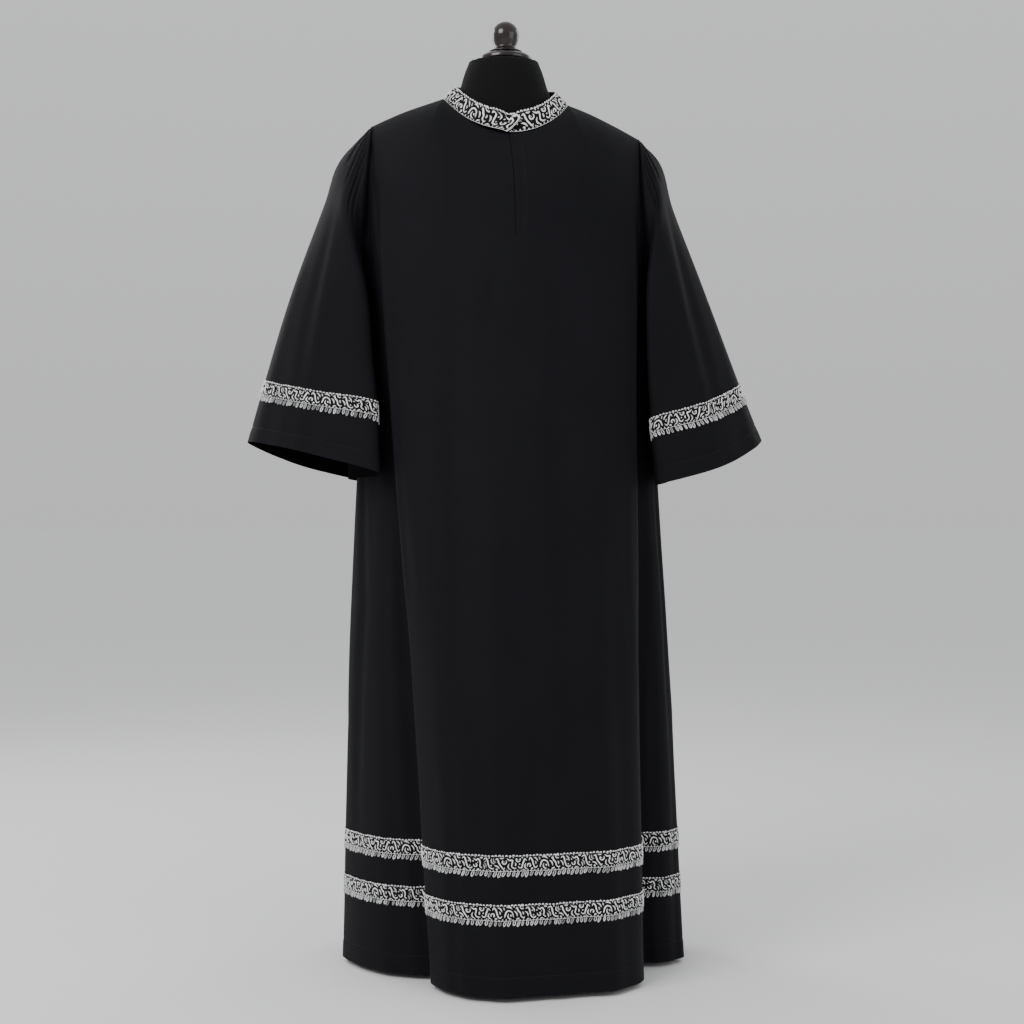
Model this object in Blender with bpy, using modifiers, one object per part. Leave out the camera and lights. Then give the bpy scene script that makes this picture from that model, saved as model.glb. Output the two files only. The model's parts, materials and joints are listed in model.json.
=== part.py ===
"""An alb on a limbless dress form: black cloth, silver galloon at neck, sleeves and hem.

The garment is a set of hollow cloth walls: a front panel with a neck slit, a back panel, two bell
sleeves, a stand collar and the bands sewn on them. Each panel is a grid of points. Its columns
start at the armhole, shoulder or neckline seam and run down to the hem, and its rows cross them.
Tables give the folds at a few heights, and smooth curves run between them.

Units are metres. The form's pole stands on the Z axis, the front faces -Y, and Z = 0 is the floor
under the round base.
"""

import math

import bmesh
import bpy
import numpy as np

COLLECTION = "alb_on_dress_form"

# Cloth and trim. A band's rows give a part of its height from the lower edge up, and how thick
# it is there
CLOTH = 0.0015
SEAM_GAP = 0.0003
TRIM_FIELD = 0.0011
TRIM_BORDER = 0.0017
TRIM_ROWS = ((0.0, TRIM_BORDER), (0.2, TRIM_FIELD), (0.8, TRIM_FIELD), (1.0, TRIM_BORDER))
UNDERLAP = 0.0012
LAP_LIFT = 0.0042
ARMHOLE_GAP = 0.00035

# The shoulders and collar lean: how much a metre, where it starts and ends, and over what height
LEAN = 0.05
LEAN_START = (1.0, 0.25)
LEAN_END = (1.50, 0.03)

# Garment heights
HEM_HEIGHT = 0.008
CHEST_HEIGHT = 1.22
UNDERARM_HEIGHT = 1.135
SHOULDER_TIP = (0.222, 0.0, 1.381)
NECK_POINT_HEIGHT = 1.432
LOWER_BAND = (0.1235, 0.1490)
UPPER_BAND = (0.1985, 0.2240)
LOW_ROWS = (UPPER_BAND[1], UPPER_BAND[0], LOWER_BAND[1], LOWER_BAND[0], 0.066, HEM_HEIGHT)
UPPER_ROWS = (1.0, 0.993, 0.975, 0.945, 0.90, 0.84, 0.75, 0.64, 0.52, 0.39, 0.26, 0.13)
SLIT_ROWS = 5
SLIT_HALF_WIDTH = 0.0004

# Columns of a panel, counted from the wearer's right side seam
ARMHOLE_COLUMNS = 8
SHOULDER_COLUMNS = 4
NECK_COLUMNS = 15
NECK_START = ARMHOLE_COLUMNS + SHOULDER_COLUMNS
NECK_END = NECK_START + NECK_COLUMNS
LAST_COLUMN = NECK_END + SHOULDER_COLUMNS + ARMHOLE_COLUMNS
CENTRE_COLUMN = (NECK_START + NECK_END) / 2
SLIT_COLUMN = NECK_START + NECK_COLUMNS // 2

# Armhole, neckline and collar
ARMHOLE_DEPTH_FRONT = 0.072
ARMHOLE_DEPTH_BACK = 0.076
UNDERARM_SIDE = 0.234
UNDERARM_SETBACK = 0.010
NECKLINE_HALF_WIDTH = 0.1035
NECKLINE_FRONT = 0.092
NECKLINE_BACK = 0.078
NECKLINE_DROP = 0.069
NECKLINE_BACK_RISE = 0.008
NECKLINE_TURN = 0.006
NECKLINE_CURVE = 1.6
SHOULDER_CROWN = 0.003
COLLAR_TOP_HALF_WIDTH = 0.0825
COLLAR_TOP_FRONT = 0.080
COLLAR_TOP_BACK = 0.068
COLLAR_TOP_HEIGHT = 1.455
COLLAR_TOP_DROP = 0.054
COLLAR_TOP_BACK_RISE = 0.016
COLLAR_CURVE = 1.5
COLLAR_LAP = 0.9
COLLAR_ROLL = 0.0016
COLLAR_END_SLANT = (-0.25, 0.10, 0.40)
LAP_COLUMNS = (4.0, 3.2)
LAP_RISE = 0.0004

# How a panel closes in on its seam above the chest: least height, and how round it is at the
# neckline's middle and at the armholes
CLOSE_REACH = 0.12
NECKLINE_ROUNDNESS = (0.15, 5.0)
ARMHOLE_ROUNDNESS = 0.3
FLAT_SEAM = (0.6, 0.4)

# Heights at which the panel tables give x and y, lowest first
PANEL_LEVELS = (HEM_HEIGHT, 0.55, 0.95, CHEST_HEIGHT)

# Front folds: column, then x and y at the hem, thigh, waist and chest
FRONT_FOLDS = (
    ("seam_right", 0.0, -0.262, 0.050, -0.252, 0.040, -0.238, 0.028, -0.232, 0.012),
    ("side_right", 2.0, -0.271, 0.000, -0.259, -0.006, -0.240, -0.012, -0.232, -0.020),
    ("flat_right", 4.5, -0.200, -0.090, -0.205, -0.076, -0.208, -0.062, -0.221, -0.050),
    ("valley_right", 7.0, -0.103, -0.120, -0.141, -0.102, -0.174, -0.086, -0.214, -0.070),
    ("edge_right", 8.8, -0.117, -0.156, -0.152, -0.134, -0.183, -0.112, -0.203, -0.088),
    ("lobe_right", 11.0, -0.086, -0.208, -0.116, -0.180, -0.146, -0.146, -0.166, -0.113),
    ("front_right", 15.0, -0.020, -0.238, -0.045, -0.203, -0.062, -0.163, -0.078, -0.135),
    ("centre", 19.5, 0.045, -0.234, 0.030, -0.206, 0.022, -0.168, 0.016, -0.143),
    ("front_left", 24.0, 0.115, -0.214, 0.104, -0.193, 0.104, -0.161, 0.102, -0.133),
    ("lobe_left", 28.0, 0.186, -0.186, 0.172, -0.165, 0.170, -0.140, 0.172, -0.110),
    ("edge_left", 30.2, 0.2205, -0.135, 0.212, -0.122, 0.208, -0.106, 0.209, -0.084),
    ("valley_left", 32.0, 0.214, -0.052, 0.208, -0.056, 0.212, -0.060, 0.220, -0.066),
    ("flat_left", 34.5, 0.268, -0.032, 0.250, -0.036, 0.229, -0.040, 0.223, -0.050),
    ("side_left", 37.0, 0.298, 0.002, 0.270, -0.002, 0.246, -0.006, 0.233, -0.020),
    ("seam_left", 39.0, 0.290, 0.048, 0.261, 0.038, 0.242, 0.026, 0.232, 0.012),
)

# Back folds, in the same columns
BACK_FOLDS = (
    ("seam_right", 0.0, -0.262, 0.050, -0.252, 0.040, -0.238, 0.028, -0.232, 0.012),
    ("flank_right", 3.0, -0.256, 0.108, -0.244, 0.090, -0.229, 0.070, -0.223, 0.045),
    ("fold_1", 6.0, -0.220, 0.158, -0.208, 0.130, -0.196, 0.102, -0.204, 0.076),
    ("dip_1", 9.0, -0.174, 0.160, -0.167, 0.136, -0.160, 0.112, -0.172, 0.098),
    ("fold_2", 12.0, -0.122, 0.206, -0.117, 0.172, -0.112, 0.136, -0.122, 0.116),
    ("dip_2", 15.5, -0.060, 0.186, -0.056, 0.161, -0.055, 0.134, -0.062, 0.125),
    ("fold_3", 19.5, 0.006, 0.218, 0.004, 0.184, 0.002, 0.147, 0.000, 0.129),
    ("dip_3", 23.0, 0.070, 0.184, 0.064, 0.160, 0.058, 0.133, 0.060, 0.125),
    ("fold_4", 27.0, 0.134, 0.208, 0.126, 0.173, 0.116, 0.136, 0.122, 0.116),
    ("dip_4", 30.0, 0.190, 0.157, 0.176, 0.134, 0.163, 0.112, 0.172, 0.098),
    ("fold_5", 33.0, 0.240, 0.152, 0.218, 0.126, 0.202, 0.101, 0.205, 0.076),
    ("flank_left", 36.0, 0.284, 0.106, 0.258, 0.088, 0.235, 0.069, 0.223, 0.045),
    ("seam_left", 39.0, 0.290, 0.048, 0.261, 0.038, 0.242, 0.026, 0.232, 0.012),
)

# Sleeve rings from the head to the cuff: place along the sleeve, the outer fold's x and z, the
# depth of the front, the front corner's x, y and z, the inner side's x and z, the rear corner's x,
# y and z, and how far the front and the back sag between their two ends
SLEEVE_RINGS = {
    "right": (
        (0.12, 0.272, 1.341, 0.077, 0.231, 0.062, 1.152, 0.243, 1.118, 0.242, 0.064, 1.152, 0.0, 0.0),
        (0.30, 0.302, 1.262, 0.084, 0.221, 0.082, 1.090, 0.254, 1.068, 0.247, 0.076, 1.090, 0.0, 0.0),
        (0.55, 0.360, 1.104, 0.092, 0.214, 0.096, 1.005, 0.258, 0.990, 0.247, 0.082, 1.000, 0.002, 0.0),
        (0.80, 0.401, 0.968, 0.097, 0.206, 0.110, 0.928, 0.259, 0.908, 0.247, 0.085, 0.904, 0.002, 0.003),
        (1.00, 0.430, 0.866, 0.100, 0.200, 0.117, 0.812, 0.262, 0.806, 0.249, 0.086, 0.804, -0.005, 0.009),
    ),
    "left": (
        (0.10, 0.254, 1.338, 0.077, 0.231, 0.062, 1.152, 0.243, 1.118, 0.242, 0.064, 1.152, 0.0, 0.0),
        (0.30, 0.280, 1.254, 0.084, 0.2285, 0.082, 1.090, 0.256, 1.066, 0.248, 0.076, 1.090, 0.0, 0.0),
        (0.55, 0.338, 1.102, 0.090, 0.2295, 0.092, 0.998, 0.262, 0.984, 0.251, 0.082, 0.996, 0.003, 0.0),
        (0.80, 0.390, 0.964, 0.094, 0.236, 0.096, 0.902, 0.262, 0.888, 0.252, 0.085, 0.892, 0.008, 0.0),
        (1.00, 0.428, 0.870, 0.096, 0.2455, 0.097, 0.794, 0.269, 0.799, 0.259, 0.086, 0.799, 0.013, 0.0),
    ),
}
SLEEVE_ROWS = (0.0, 0.035, 0.08, 0.15, 0.24, 0.36, 0.50, 0.65, 0.80, 0.85, 0.92, 1.0)
SLEEVE_BAND_ROWS = (8, 9)
HEAD_SPLITS = (3, 3, 3, 2, 2, 1, 1, 1)
SLEEVE_MIDDLE = 0.52
SLEEVE_QUARTER = (0.42, 0.66, 0.5)
UNDERARM_CLEAR = (0.0018, 0.0036, 0.0036, 0.0018)
UNDERARM_START = 2.0
GATHER_HEIGHT = 0.0030
GATHER_COLUMNS = 8
GATHER_DIP = -0.05
GATHER_FADE = (0.0, 1.0, 1.0, 0.75, 0.45, 0.2, 0.0, 0.0, 0.0, 0.0, 0.0, 0.0)

# Dress form: height, half width, depth in front and depth behind
FORM_SECTIONS = (
    (0.80, 0.160, 0.098, 0.112),
    (0.90, 0.172, 0.106, 0.120),
    (1.06, 0.148, 0.092, 0.094),
    (1.20, 0.176, 0.118, 0.104),
)
FORM_FLOOR = 0.80
FORM_SEAT_GAP = 0.0007
FORM_ARM_CENTRE = 1.262
FORM_ARM_DEPTH = 0.052
FORM_ARM_SIDE = 0.186
FORM_ARM_COLUMNS = 4
FORM_RIDGE = (9, 10, 11, 12)
FORM_ROOT_COLUMNS = 9
FORM_ROOT_SCALE = (0.90, 0.88, 1.0)
FORM_ROOT_DROP = 0.004
FORM_ROWS = (1.0, 0.985, 0.95, 0.88, 0.78, 0.62, 0.42, 0.20, 0.0)
FORM_ROUNDNESS = ((5, 0.2), (9, 0.95), (99, 0.3))
SHOULDER_SLOPE = 1.12
NECK_TOP_HEIGHT = 1.500
NECK_SHIFT = (-0.003, -0.004)
NECK_DEPTH_SHARE = 0.86

# Neck rings: half width, height, and how far the ring has left the shape of the neck root
FORM_NECK = (
    (0.0735, 1.4400, 0.50), (0.0720, 1.4520, 0.90), (0.0710, 1.4620, 1.0), (0.0675, 1.4800, 1.0),
    (0.0630, 1.4930, 1.0), (0.0560, NECK_TOP_HEIGHT, 1.0),
)
POLE_RADIUS = 0.0165
BASE_RADIUS = 0.142
BASE_THICKNESS = 0.016

# Turned pieces: radius and height, from the top down the outer side
FINIAL_PROFILE = (
    (0.0, 1.5680), (0.0085, 1.5668), (0.0160, 1.5618), (0.0210, 1.5545), (0.0229, 1.5460),
    (0.0218, 1.5380), (0.0190, 1.5300), (0.0172, 1.5245), (0.0205, 1.5210), (0.0290, 1.5175),
    (0.0300, 1.5150), (0.0, 1.5150),
)
CAP_PROFILE = (
    (0.0, 1.5147), (0.0290, 1.5147), (0.0400, 1.5100), (0.0450, 1.5060), (0.0450, 1.5003),
    (0.0, 1.5003),
)
HUB_PROFILE = (
    (0.0, 0.7997), (0.034, 0.7997), (0.034, 0.7900), (0.022, 0.7600), (0.022, 0.7400),
    (0.0, 0.7400),
)
POLE_PROFILE = ((0.0, 0.7397), (POLE_RADIUS, 0.7397), (POLE_RADIUS, 0.0363), (0.0, 0.0363))
BASE_PROFILE = (
    (0.0, 0.0360), (0.024, 0.0360), (0.028, 0.0300), (0.036, 0.0200), (0.128, BASE_THICKNESS),
    (0.139, 0.0125), (BASE_RADIUS, 0.0070), (0.140, 0.0), (0.0, 0.0),
)


def start_collection():
    """Empty the scene and give the collection that holds the object."""
    for old in list(bpy.data.objects):
        bpy.data.objects.remove(old, do_unlink=True)
    group = bpy.data.collections.new(COLLECTION)
    bpy.context.scene.collection.children.link(group)
    return group


def finish(name, colour, roughness, metallic=0.0):
    """Plain material with a colour, a roughness and a metallic value."""
    material = bpy.data.materials.new(name)
    material.use_nodes = True
    shader = material.node_tree.nodes["Principled BSDF"]
    shader.inputs["Base Color"].default_value = (*colour, 1.0)
    shader.inputs["Roughness"].default_value = roughness
    shader.inputs["Metallic"].default_value = metallic
    return material


def unit(vectors):
    """Vectors brought to length one along their last axis."""
    return vectors / np.maximum(np.linalg.norm(vectors, axis=-1, keepdims=True), 1e-12)


def spline(knots, values, places):
    """Smooth curve through values at the knots, read at the places.

    The slope at a knot is the mean of its two spans, weighted by the span on the other side.
    """
    knots = np.asarray(knots, float)
    values = np.asarray(values, float)
    places = np.asarray(places, float)
    span = np.diff(knots)
    rise = np.diff(values, axis=0) / span.reshape(-1, *[1] * (values.ndim - 1))
    slope = np.empty_like(values)
    slope[0], slope[-1] = rise[0], rise[-1]
    share = (span[1:] / (span[1:] + span[:-1])).reshape(-1, *[1] * (values.ndim - 1))
    slope[1:-1] = rise[:-1] * share + rise[1:] * (1.0 - share)
    index = np.clip(np.searchsorted(knots, places, side="right") - 1, 0, len(span) - 1)
    shape = (-1, *[1] * (values.ndim - 1))
    width = span[index].reshape(shape)
    t = ((places - knots[index]) / span[index]).reshape(shape)
    start, end = values[index], values[index + 1]
    out, into = slope[index] * width, slope[index + 1] * width
    return (start * (2 * t**3 - 3 * t**2 + 1) + out * (t**3 - 2 * t**2 + t)
            + end * (3 * t**2 - 2 * t**3) + into * (t**3 - t**2))


def ring_spline(values, turns):
    """Closed smooth curve through evenly spaced values, read at parts of a turn."""
    count = len(values)
    wrapped = np.concatenate([values[-2:], values, values[:3]])
    knots = np.arange(-2, count + 3) / count
    return spline(knots, wrapped, turns)


def lean(points):
    """The form leans a little: its far side sinks with x, at the shoulders and collar only."""
    moved = points.copy()
    height = points[..., 2]
    rise = np.clip((height - LEAN_START[0]) / LEAN_START[1], 0, 1)
    fall = np.clip((LEAN_END[0] - height) / LEAN_END[1], 0, 1)
    moved[..., 2] -= LEAN * points[..., 0] * rise * rise * (3 - 2 * rise) * fall
    return moved


def armhole(side, turn):
    """Point of the armhole at a part of a turn: 0 at the shoulder, a quarter in front."""
    angle = 2 * math.pi * turn
    centre = (SHOULDER_TIP[2] + UNDERARM_HEIGHT) / 2
    depth = np.where(np.sin(angle) > 0, ARMHOLE_DEPTH_FRONT, ARMHOLE_DEPTH_BACK)
    high = (1 + np.cos(angle)) / 2
    x = side * (UNDERARM_SIDE + (SHOULDER_TIP[0] - UNDERARM_SIDE) * high)
    y = UNDERARM_SETBACK * (1 - high) - depth * np.sin(angle)
    z = centre + (SHOULDER_TIP[2] - centre) * np.cos(angle)
    return np.stack([x + 0 * angle, y, z], axis=-1)


def neckline(turn):
    """Point of the neck seam at an angle from centre front, positive towards +X."""
    front = np.maximum(np.cos(turn), 0)
    back = np.maximum(-np.cos(turn), 0)
    x = NECKLINE_HALF_WIDTH * np.sin(turn) + NECKLINE_TURN * np.cos(turn)
    y = -NECKLINE_FRONT * front + NECKLINE_BACK * back
    z = NECK_POINT_HEIGHT - NECKLINE_DROP * front**NECKLINE_CURVE + NECKLINE_BACK_RISE * back
    return np.stack([x, y, z], axis=-1)


def collar_edge(turn):
    """Point of the collar's top edge at an angle from centre front."""
    front = np.maximum(np.cos(turn), 0)
    back = np.maximum(-np.cos(turn), 0)
    x = COLLAR_TOP_HALF_WIDTH * np.sin(turn) + NECKLINE_TURN * np.cos(turn)
    y = -COLLAR_TOP_FRONT * front + COLLAR_TOP_BACK * back
    z = COLLAR_TOP_HEIGHT - COLLAR_TOP_DROP * front**COLLAR_CURVE + COLLAR_TOP_BACK_RISE * back
    return np.stack([x, y, z], axis=-1)


def panel_top(front):
    """Seam points of a panel, one a column: armhole, shoulder, neckline, shoulder, armhole."""
    face = 1.0 if front else -1.0
    climb = np.arange(ARMHOLE_COLUMNS) / ARMHOLE_COLUMNS
    turn = face * (1 - climb) / 2
    right_arm = armhole(-1.0, turn)
    left_arm = armhole(1.0, turn)[::-1]
    part = np.arange(SHOULDER_COLUMNS) / SHOULDER_COLUMNS
    shoulders = []
    for side in (-1.0, 1.0):
        tip = np.array([side * SHOULDER_TIP[0], SHOULDER_TIP[1], SHOULDER_TIP[2]])
        neck = neckline(np.array([side * math.pi / 2]))[0]
        line = tip + (neck - tip) * part[:, None]
        line[:, 2] += SHOULDER_CROWN * np.sin(math.pi * part)
        shoulders.append(line)
    middle = (NECK_COLUMNS - 1) / 2 if front else NECK_COLUMNS / 2
    steps = np.arange(NECK_COLUMNS + 1)
    if front:
        steps = np.where(steps > middle, steps - 1, steps)
    sweep = (steps / middle - 1) * math.pi / 2
    neck = neckline(sweep if front else math.pi - sweep)
    if front:
        half = NECK_COLUMNS // 2
        neck[half, 0] -= SLIT_HALF_WIDTH
        neck[half + 1, 0] += SLIT_HALF_WIDTH
    return np.concatenate([right_arm, shoulders[0], neck, shoulders[1][::-1], left_arm])


def hang_grid(levels, sections, top, heights, roundness):
    """Grid of points of a surface that hangs from a seam, rows from the top down.

    levels are the heights of the sections, lowest first, and sections the x and y of each
    column there. heights gives each grid point's height. Above the highest section a column
    closes in on its seam point, on a quarter ellipse where roundness is 1 and softly where 0.
    """
    rows, columns = heights.shape
    grid = np.empty((rows, columns, 3))
    grid[..., 2] = heights
    for column in range(columns):
        height = heights[:, column]
        start = top[column]
        body = spline(levels, sections[:, column], np.clip(height, levels[0], levels[-1]))
        reach = max(start[2] - levels[-1], CLOSE_REACH)
        part = np.clip((start[2] - height) / reach, 0, 1)
        soft = 1 - (1 - part) ** 2
        arch = np.sqrt(soft)
        round_share = roundness[column]
        grid[:, column, 0] = start[0] + (body[:, 0] - start[0]) * soft
        deep = round_share * arch + (1 - round_share) * soft
        grid[:, column, 1] = start[1] + (body[:, 1] - start[1]) * deep
    return grid


def panel_grid(folds, front):
    """Outer points of a front or back panel, before the seam gaps are taken off."""
    table = np.array([row[1:] for row in folds])
    columns = np.arange(LAST_COLUMN + 1, dtype=float)
    if front:
        columns[SLIT_COLUMN:SLIT_COLUMN + 2] = CENTRE_COLUMN
    curve = spline(table[:, 0], table[:, 1:], columns)
    sections = curve.reshape(len(columns), len(PANEL_LEVELS), 2).transpose(1, 0, 2)
    if front:
        sections = sections.copy()
        sections[:, SLIT_COLUMN, 0] -= SLIT_HALF_WIDTH
        sections[:, SLIT_COLUMN + 1, 0] += SLIT_HALF_WIDTH
    top = panel_top(front)
    upper = LOW_ROWS[0] + np.outer(UPPER_ROWS, top[:, 2] - LOW_ROWS[0])
    lower = np.repeat(np.array(LOW_ROWS)[:, None], len(columns), axis=1)
    heights = np.concatenate([upper, lower])
    place = np.arange(LAST_COLUMN + 1)
    from_neck = np.abs(place - CENTRE_COLUMN) - NECK_COLUMNS / 2
    least, soft_columns = NECKLINE_ROUNDNESS
    roundness = np.clip(1.0 + from_neck / soft_columns, least, 1.0)
    roundness = np.where(from_neck > SHOULDER_COLUMNS, ARMHOLE_ROUNDNESS, roundness)
    return lean(hang_grid(PANEL_LEVELS, sections, top, heights, roundness))


def grid_normals(grid, outward, closed=False):
    """Outward normals of a grid of points; outward says which side is the outside."""
    down = np.gradient(grid, axis=0)
    if closed:
        across = np.roll(grid, -1, axis=1) - np.roll(grid, 1, axis=1)
    else:
        across = np.gradient(grid, axis=1)
    normals = unit(np.cross(across, down))
    if (normals * outward).sum() < 0:
        normals = -normals
    return normals


def draw_in(points, line_normals, neighbours, distance, closed=False):
    """Move a border line inwards, square to itself and to its normals."""
    if closed:
        along = np.roll(points, -1, axis=0) - np.roll(points, 1, axis=0)
    else:
        along = np.gradient(points, axis=0)
    inward = unit(np.cross(along, line_normals))
    if (inward * (neighbours - points)).sum() < 0:
        inward = -inward
    return inward * distance


def mitre(own, other, hollow):
    """Normal of a wall at a seam with another wall.

    It is shared with the other wall where the seam is flat or stands out, and the wall's own
    where the seam is the bottom of a hollow corner.
    """
    limit, spread = FLAT_SEAM
    share = min(max((limit - hollow) / spread, 0.0), 1.0)
    return unit(own * (1 - share) + unit(own + other) * share)


def wall(name, outer, inner, closed=False, missing=()):
    """Closed solid between two like grids of points, with rims along every open border."""
    rows, columns = outer.shape[:2]
    spans = columns if closed else columns - 1
    cells = {(r, c) for r in range(rows - 1) for c in range(spans)} - set(missing)
    mesh_data = bmesh.new()
    skins = []
    for grid in (outer, inner):
        skins.append([[mesh_data.verts.new(point) for point in row] for row in grid])

    def quad(a, b, c, d):
        mesh_data.faces.new((a, b, c))
        mesh_data.faces.new((a, c, d))

    for row, column in sorted(cells):
        after = (column + 1) % columns
        corners = ((row, column), (row, after), (row + 1, after), (row + 1, column))
        face = [skins[0][r][c] for r, c in corners]
        back = [skins[1][r][c] for r, c in corners]
        quad(*face)
        mesh_data.faces.new((back[0], back[2], back[1]))
        mesh_data.faces.new((back[0], back[3], back[2]))
        previous = (column - 1) % spans if closed else column - 1
        following = (column + 1) % spans if closed else column + 1
        beside = ((row - 1, column), (row, following), (row + 1, column), (row, previous))
        for edge, neighbour in enumerate(beside):
            if neighbour in cells:
                continue
            first, second = edge, (edge + 1) % 4
            quad(face[second], face[first], back[first], back[second])
    return solid(name, mesh_data)


def band(name, base, normals, closed=False):
    """Trim that lies on two rows of a panel: a plain inner face, and raised rows outside."""
    rows, columns = len(TRIM_ROWS), base.shape[1]
    spans = columns if closed else columns - 1
    mesh_data = bmesh.new()
    inner = [[mesh_data.verts.new(p) for p in line] for line in base + normals * SEAM_GAP]
    outer = []
    for part, thickness in TRIM_ROWS:
        line = base[0] + (base[1] - base[0]) * part
        facing = unit(normals[0] + (normals[1] - normals[0]) * part)
        outer.append([mesh_data.verts.new(p) for p in line + facing * (SEAM_GAP + thickness)])
    for column in range(spans):
        after = (column + 1) % columns
        strips = [outer[row] for row in range(rows)] + [inner[1], inner[0]]
        for index, strip in enumerate(strips):
            below = strips[(index + 1) % len(strips)]
            if strip is inner[1]:
                mesh_data.faces.new((strip[column], strip[after], below[after]))
                mesh_data.faces.new((strip[column], below[after], below[column]))
            else:
                mesh_data.faces.new((strip[column], strip[after], below[column]))
                mesh_data.faces.new((strip[after], below[after], below[column]))
    if not closed:
        for column in (0, columns - 1):
            ring = [outer[row][column] for row in range(rows)]
            mesh_data.faces.new(ring + [inner[1][column], inner[0][column]])
    return solid(name, mesh_data)


def solid(name, mesh_data):
    """Object made from mesh data, with loose points gone and its faces pointing out."""
    loose = [vertex for vertex in mesh_data.verts if not vertex.link_faces]
    bmesh.ops.delete(mesh_data, geom=loose, context="VERTS")
    bmesh.ops.recalc_face_normals(mesh_data, faces=mesh_data.faces[:])
    if mesh_data.calc_volume(signed=True) < 0:
        bmesh.ops.reverse_faces(mesh_data, faces=mesh_data.faces[:])
    mesh = bpy.data.meshes.new(name)
    mesh_data.to_mesh(mesh)
    mesh_data.free()
    mesh.shade_smooth()
    mesh.set_sharp_from_angle(angle=math.radians(40))
    return bpy.data.objects.new(name, mesh)


def turned(name, profile, steps=32):
    """Solid of revolution about the Z axis from a profile of radius and height."""
    mesh = bpy.data.meshes.new(name)
    points = [(radius, 0.0, height) for radius, height in profile]
    mesh.from_pydata(points, [(i, i + 1) for i in range(len(points) - 1)], [])
    made = bpy.data.objects.new(name, mesh)
    screw = made.modifiers.new("turn", "SCREW")
    screw.axis = "Z"
    screw.angle = 2 * math.pi
    screw.steps = steps
    screw.render_steps = steps
    screw.use_merge_vertices = True
    screw.merge_threshold = 0.00005
    screw.use_smooth_shade = True
    return made


def sleeve_turns():
    """Parts of a turn of a sleeve's columns, closer together at the gathered head."""
    half = []
    for segment, splits in enumerate(HEAD_SPLITS):
        start = segment / len(HEAD_SPLITS) / 2
        width = 0.5 / len(HEAD_SPLITS)
        half.extend(start + width * step / splits for step in range(splits))
    half = np.array(half)
    mirrored = 1.0 - half[1:][::-1]
    return np.concatenate([half, [0.5], mirrored])


def sleeve_ring(side, row):
    """Eight points of a sleeve section, from the outer fold round the front to the rear."""
    (_, outer_x, outer_z, front_y, corner_x, corner_y, corner_z,
     inner_x, inner_z, rear_x, rear_y, rear_z, sag, back_sag) = row
    outer = np.array([outer_x, 0.0, outer_z])
    corner = np.array([corner_x, -corner_y, corner_z])
    rear = np.array([rear_x, rear_y, rear_z])
    inner = np.array([inner_x, 0.0, inner_z])
    front = outer + (corner - outer) * SLEEVE_MIDDLE
    front[1] = -front_y
    front[2] -= sag
    back = outer + (rear - outer) * SLEEVE_MIDDLE
    back[1] = rear_y
    back[2] -= back_sag
    across, depth, droop = SLEEVE_QUARTER
    shoulder = outer + (front - outer) * across
    shoulder[1] = -depth * front_y
    shoulder[2] -= sag * droop
    blade = outer + (back - outer) * across
    blade[1] = depth * rear_y
    blade[2] -= back_sag * droop
    ring = np.array([outer, shoulder, front, corner, inner, rear, back, blade])
    ring[:, 0] *= side
    return ring


def underarm_share(turns):
    """How far each column belongs to the underarm: 0 at the sleeve head and 1 below."""
    return np.clip(UNDERARM_START - 2 * np.cos(2 * math.pi * turns), 0, 1)


def armhole_polygon(side, turns):
    """Points of the armhole at a sleeve's columns, on the straight edges that the panels have."""
    corners = np.arange(2 * ARMHOLE_COLUMNS + 1) / (2 * ARMHOLE_COLUMNS)
    seam = lean(armhole(side, corners))
    return np.stack([np.interp(turns, corners, seam[:, axis]) for axis in range(3)], axis=-1)


def sleeve_grid(side_name):
    """Outer points of a sleeve, rows from the armhole to the cuff."""
    side = -1.0 if side_name == "right" else 1.0
    table = SLEEVE_RINGS[side_name]
    turns = sleeve_turns()
    net = [lean(armhole(side, np.arange(8) / 8))]
    net.extend(sleeve_ring(side, row) for row in table)
    places = [0.0] + [row[0] for row in table]
    rings = spline(places, np.array(net), SLEEVE_ROWS)
    grid = np.array([ring_spline(ring, turns) for ring in rings])
    grid[0] = armhole_polygon(side, turns)
    low = underarm_share(turns)
    clear = np.array(UNDERARM_CLEAR)[:, None]
    grid[:len(clear), :, 0] += side * clear * low
    facing = grid_normals(grid, grid - grid.mean(axis=1, keepdims=True), closed=True)
    column = np.arange(len(turns))
    from_top = np.minimum(column, len(turns) - column)
    strength = np.where(from_top <= GATHER_COLUMNS, 1.0, 0.0)
    ripple = np.where(column % 2 == 1, 1.0, GATHER_DIP) * strength * GATHER_HEIGHT
    grid += facing * np.outer(GATHER_FADE, ripple)[..., None]
    return grid


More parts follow.
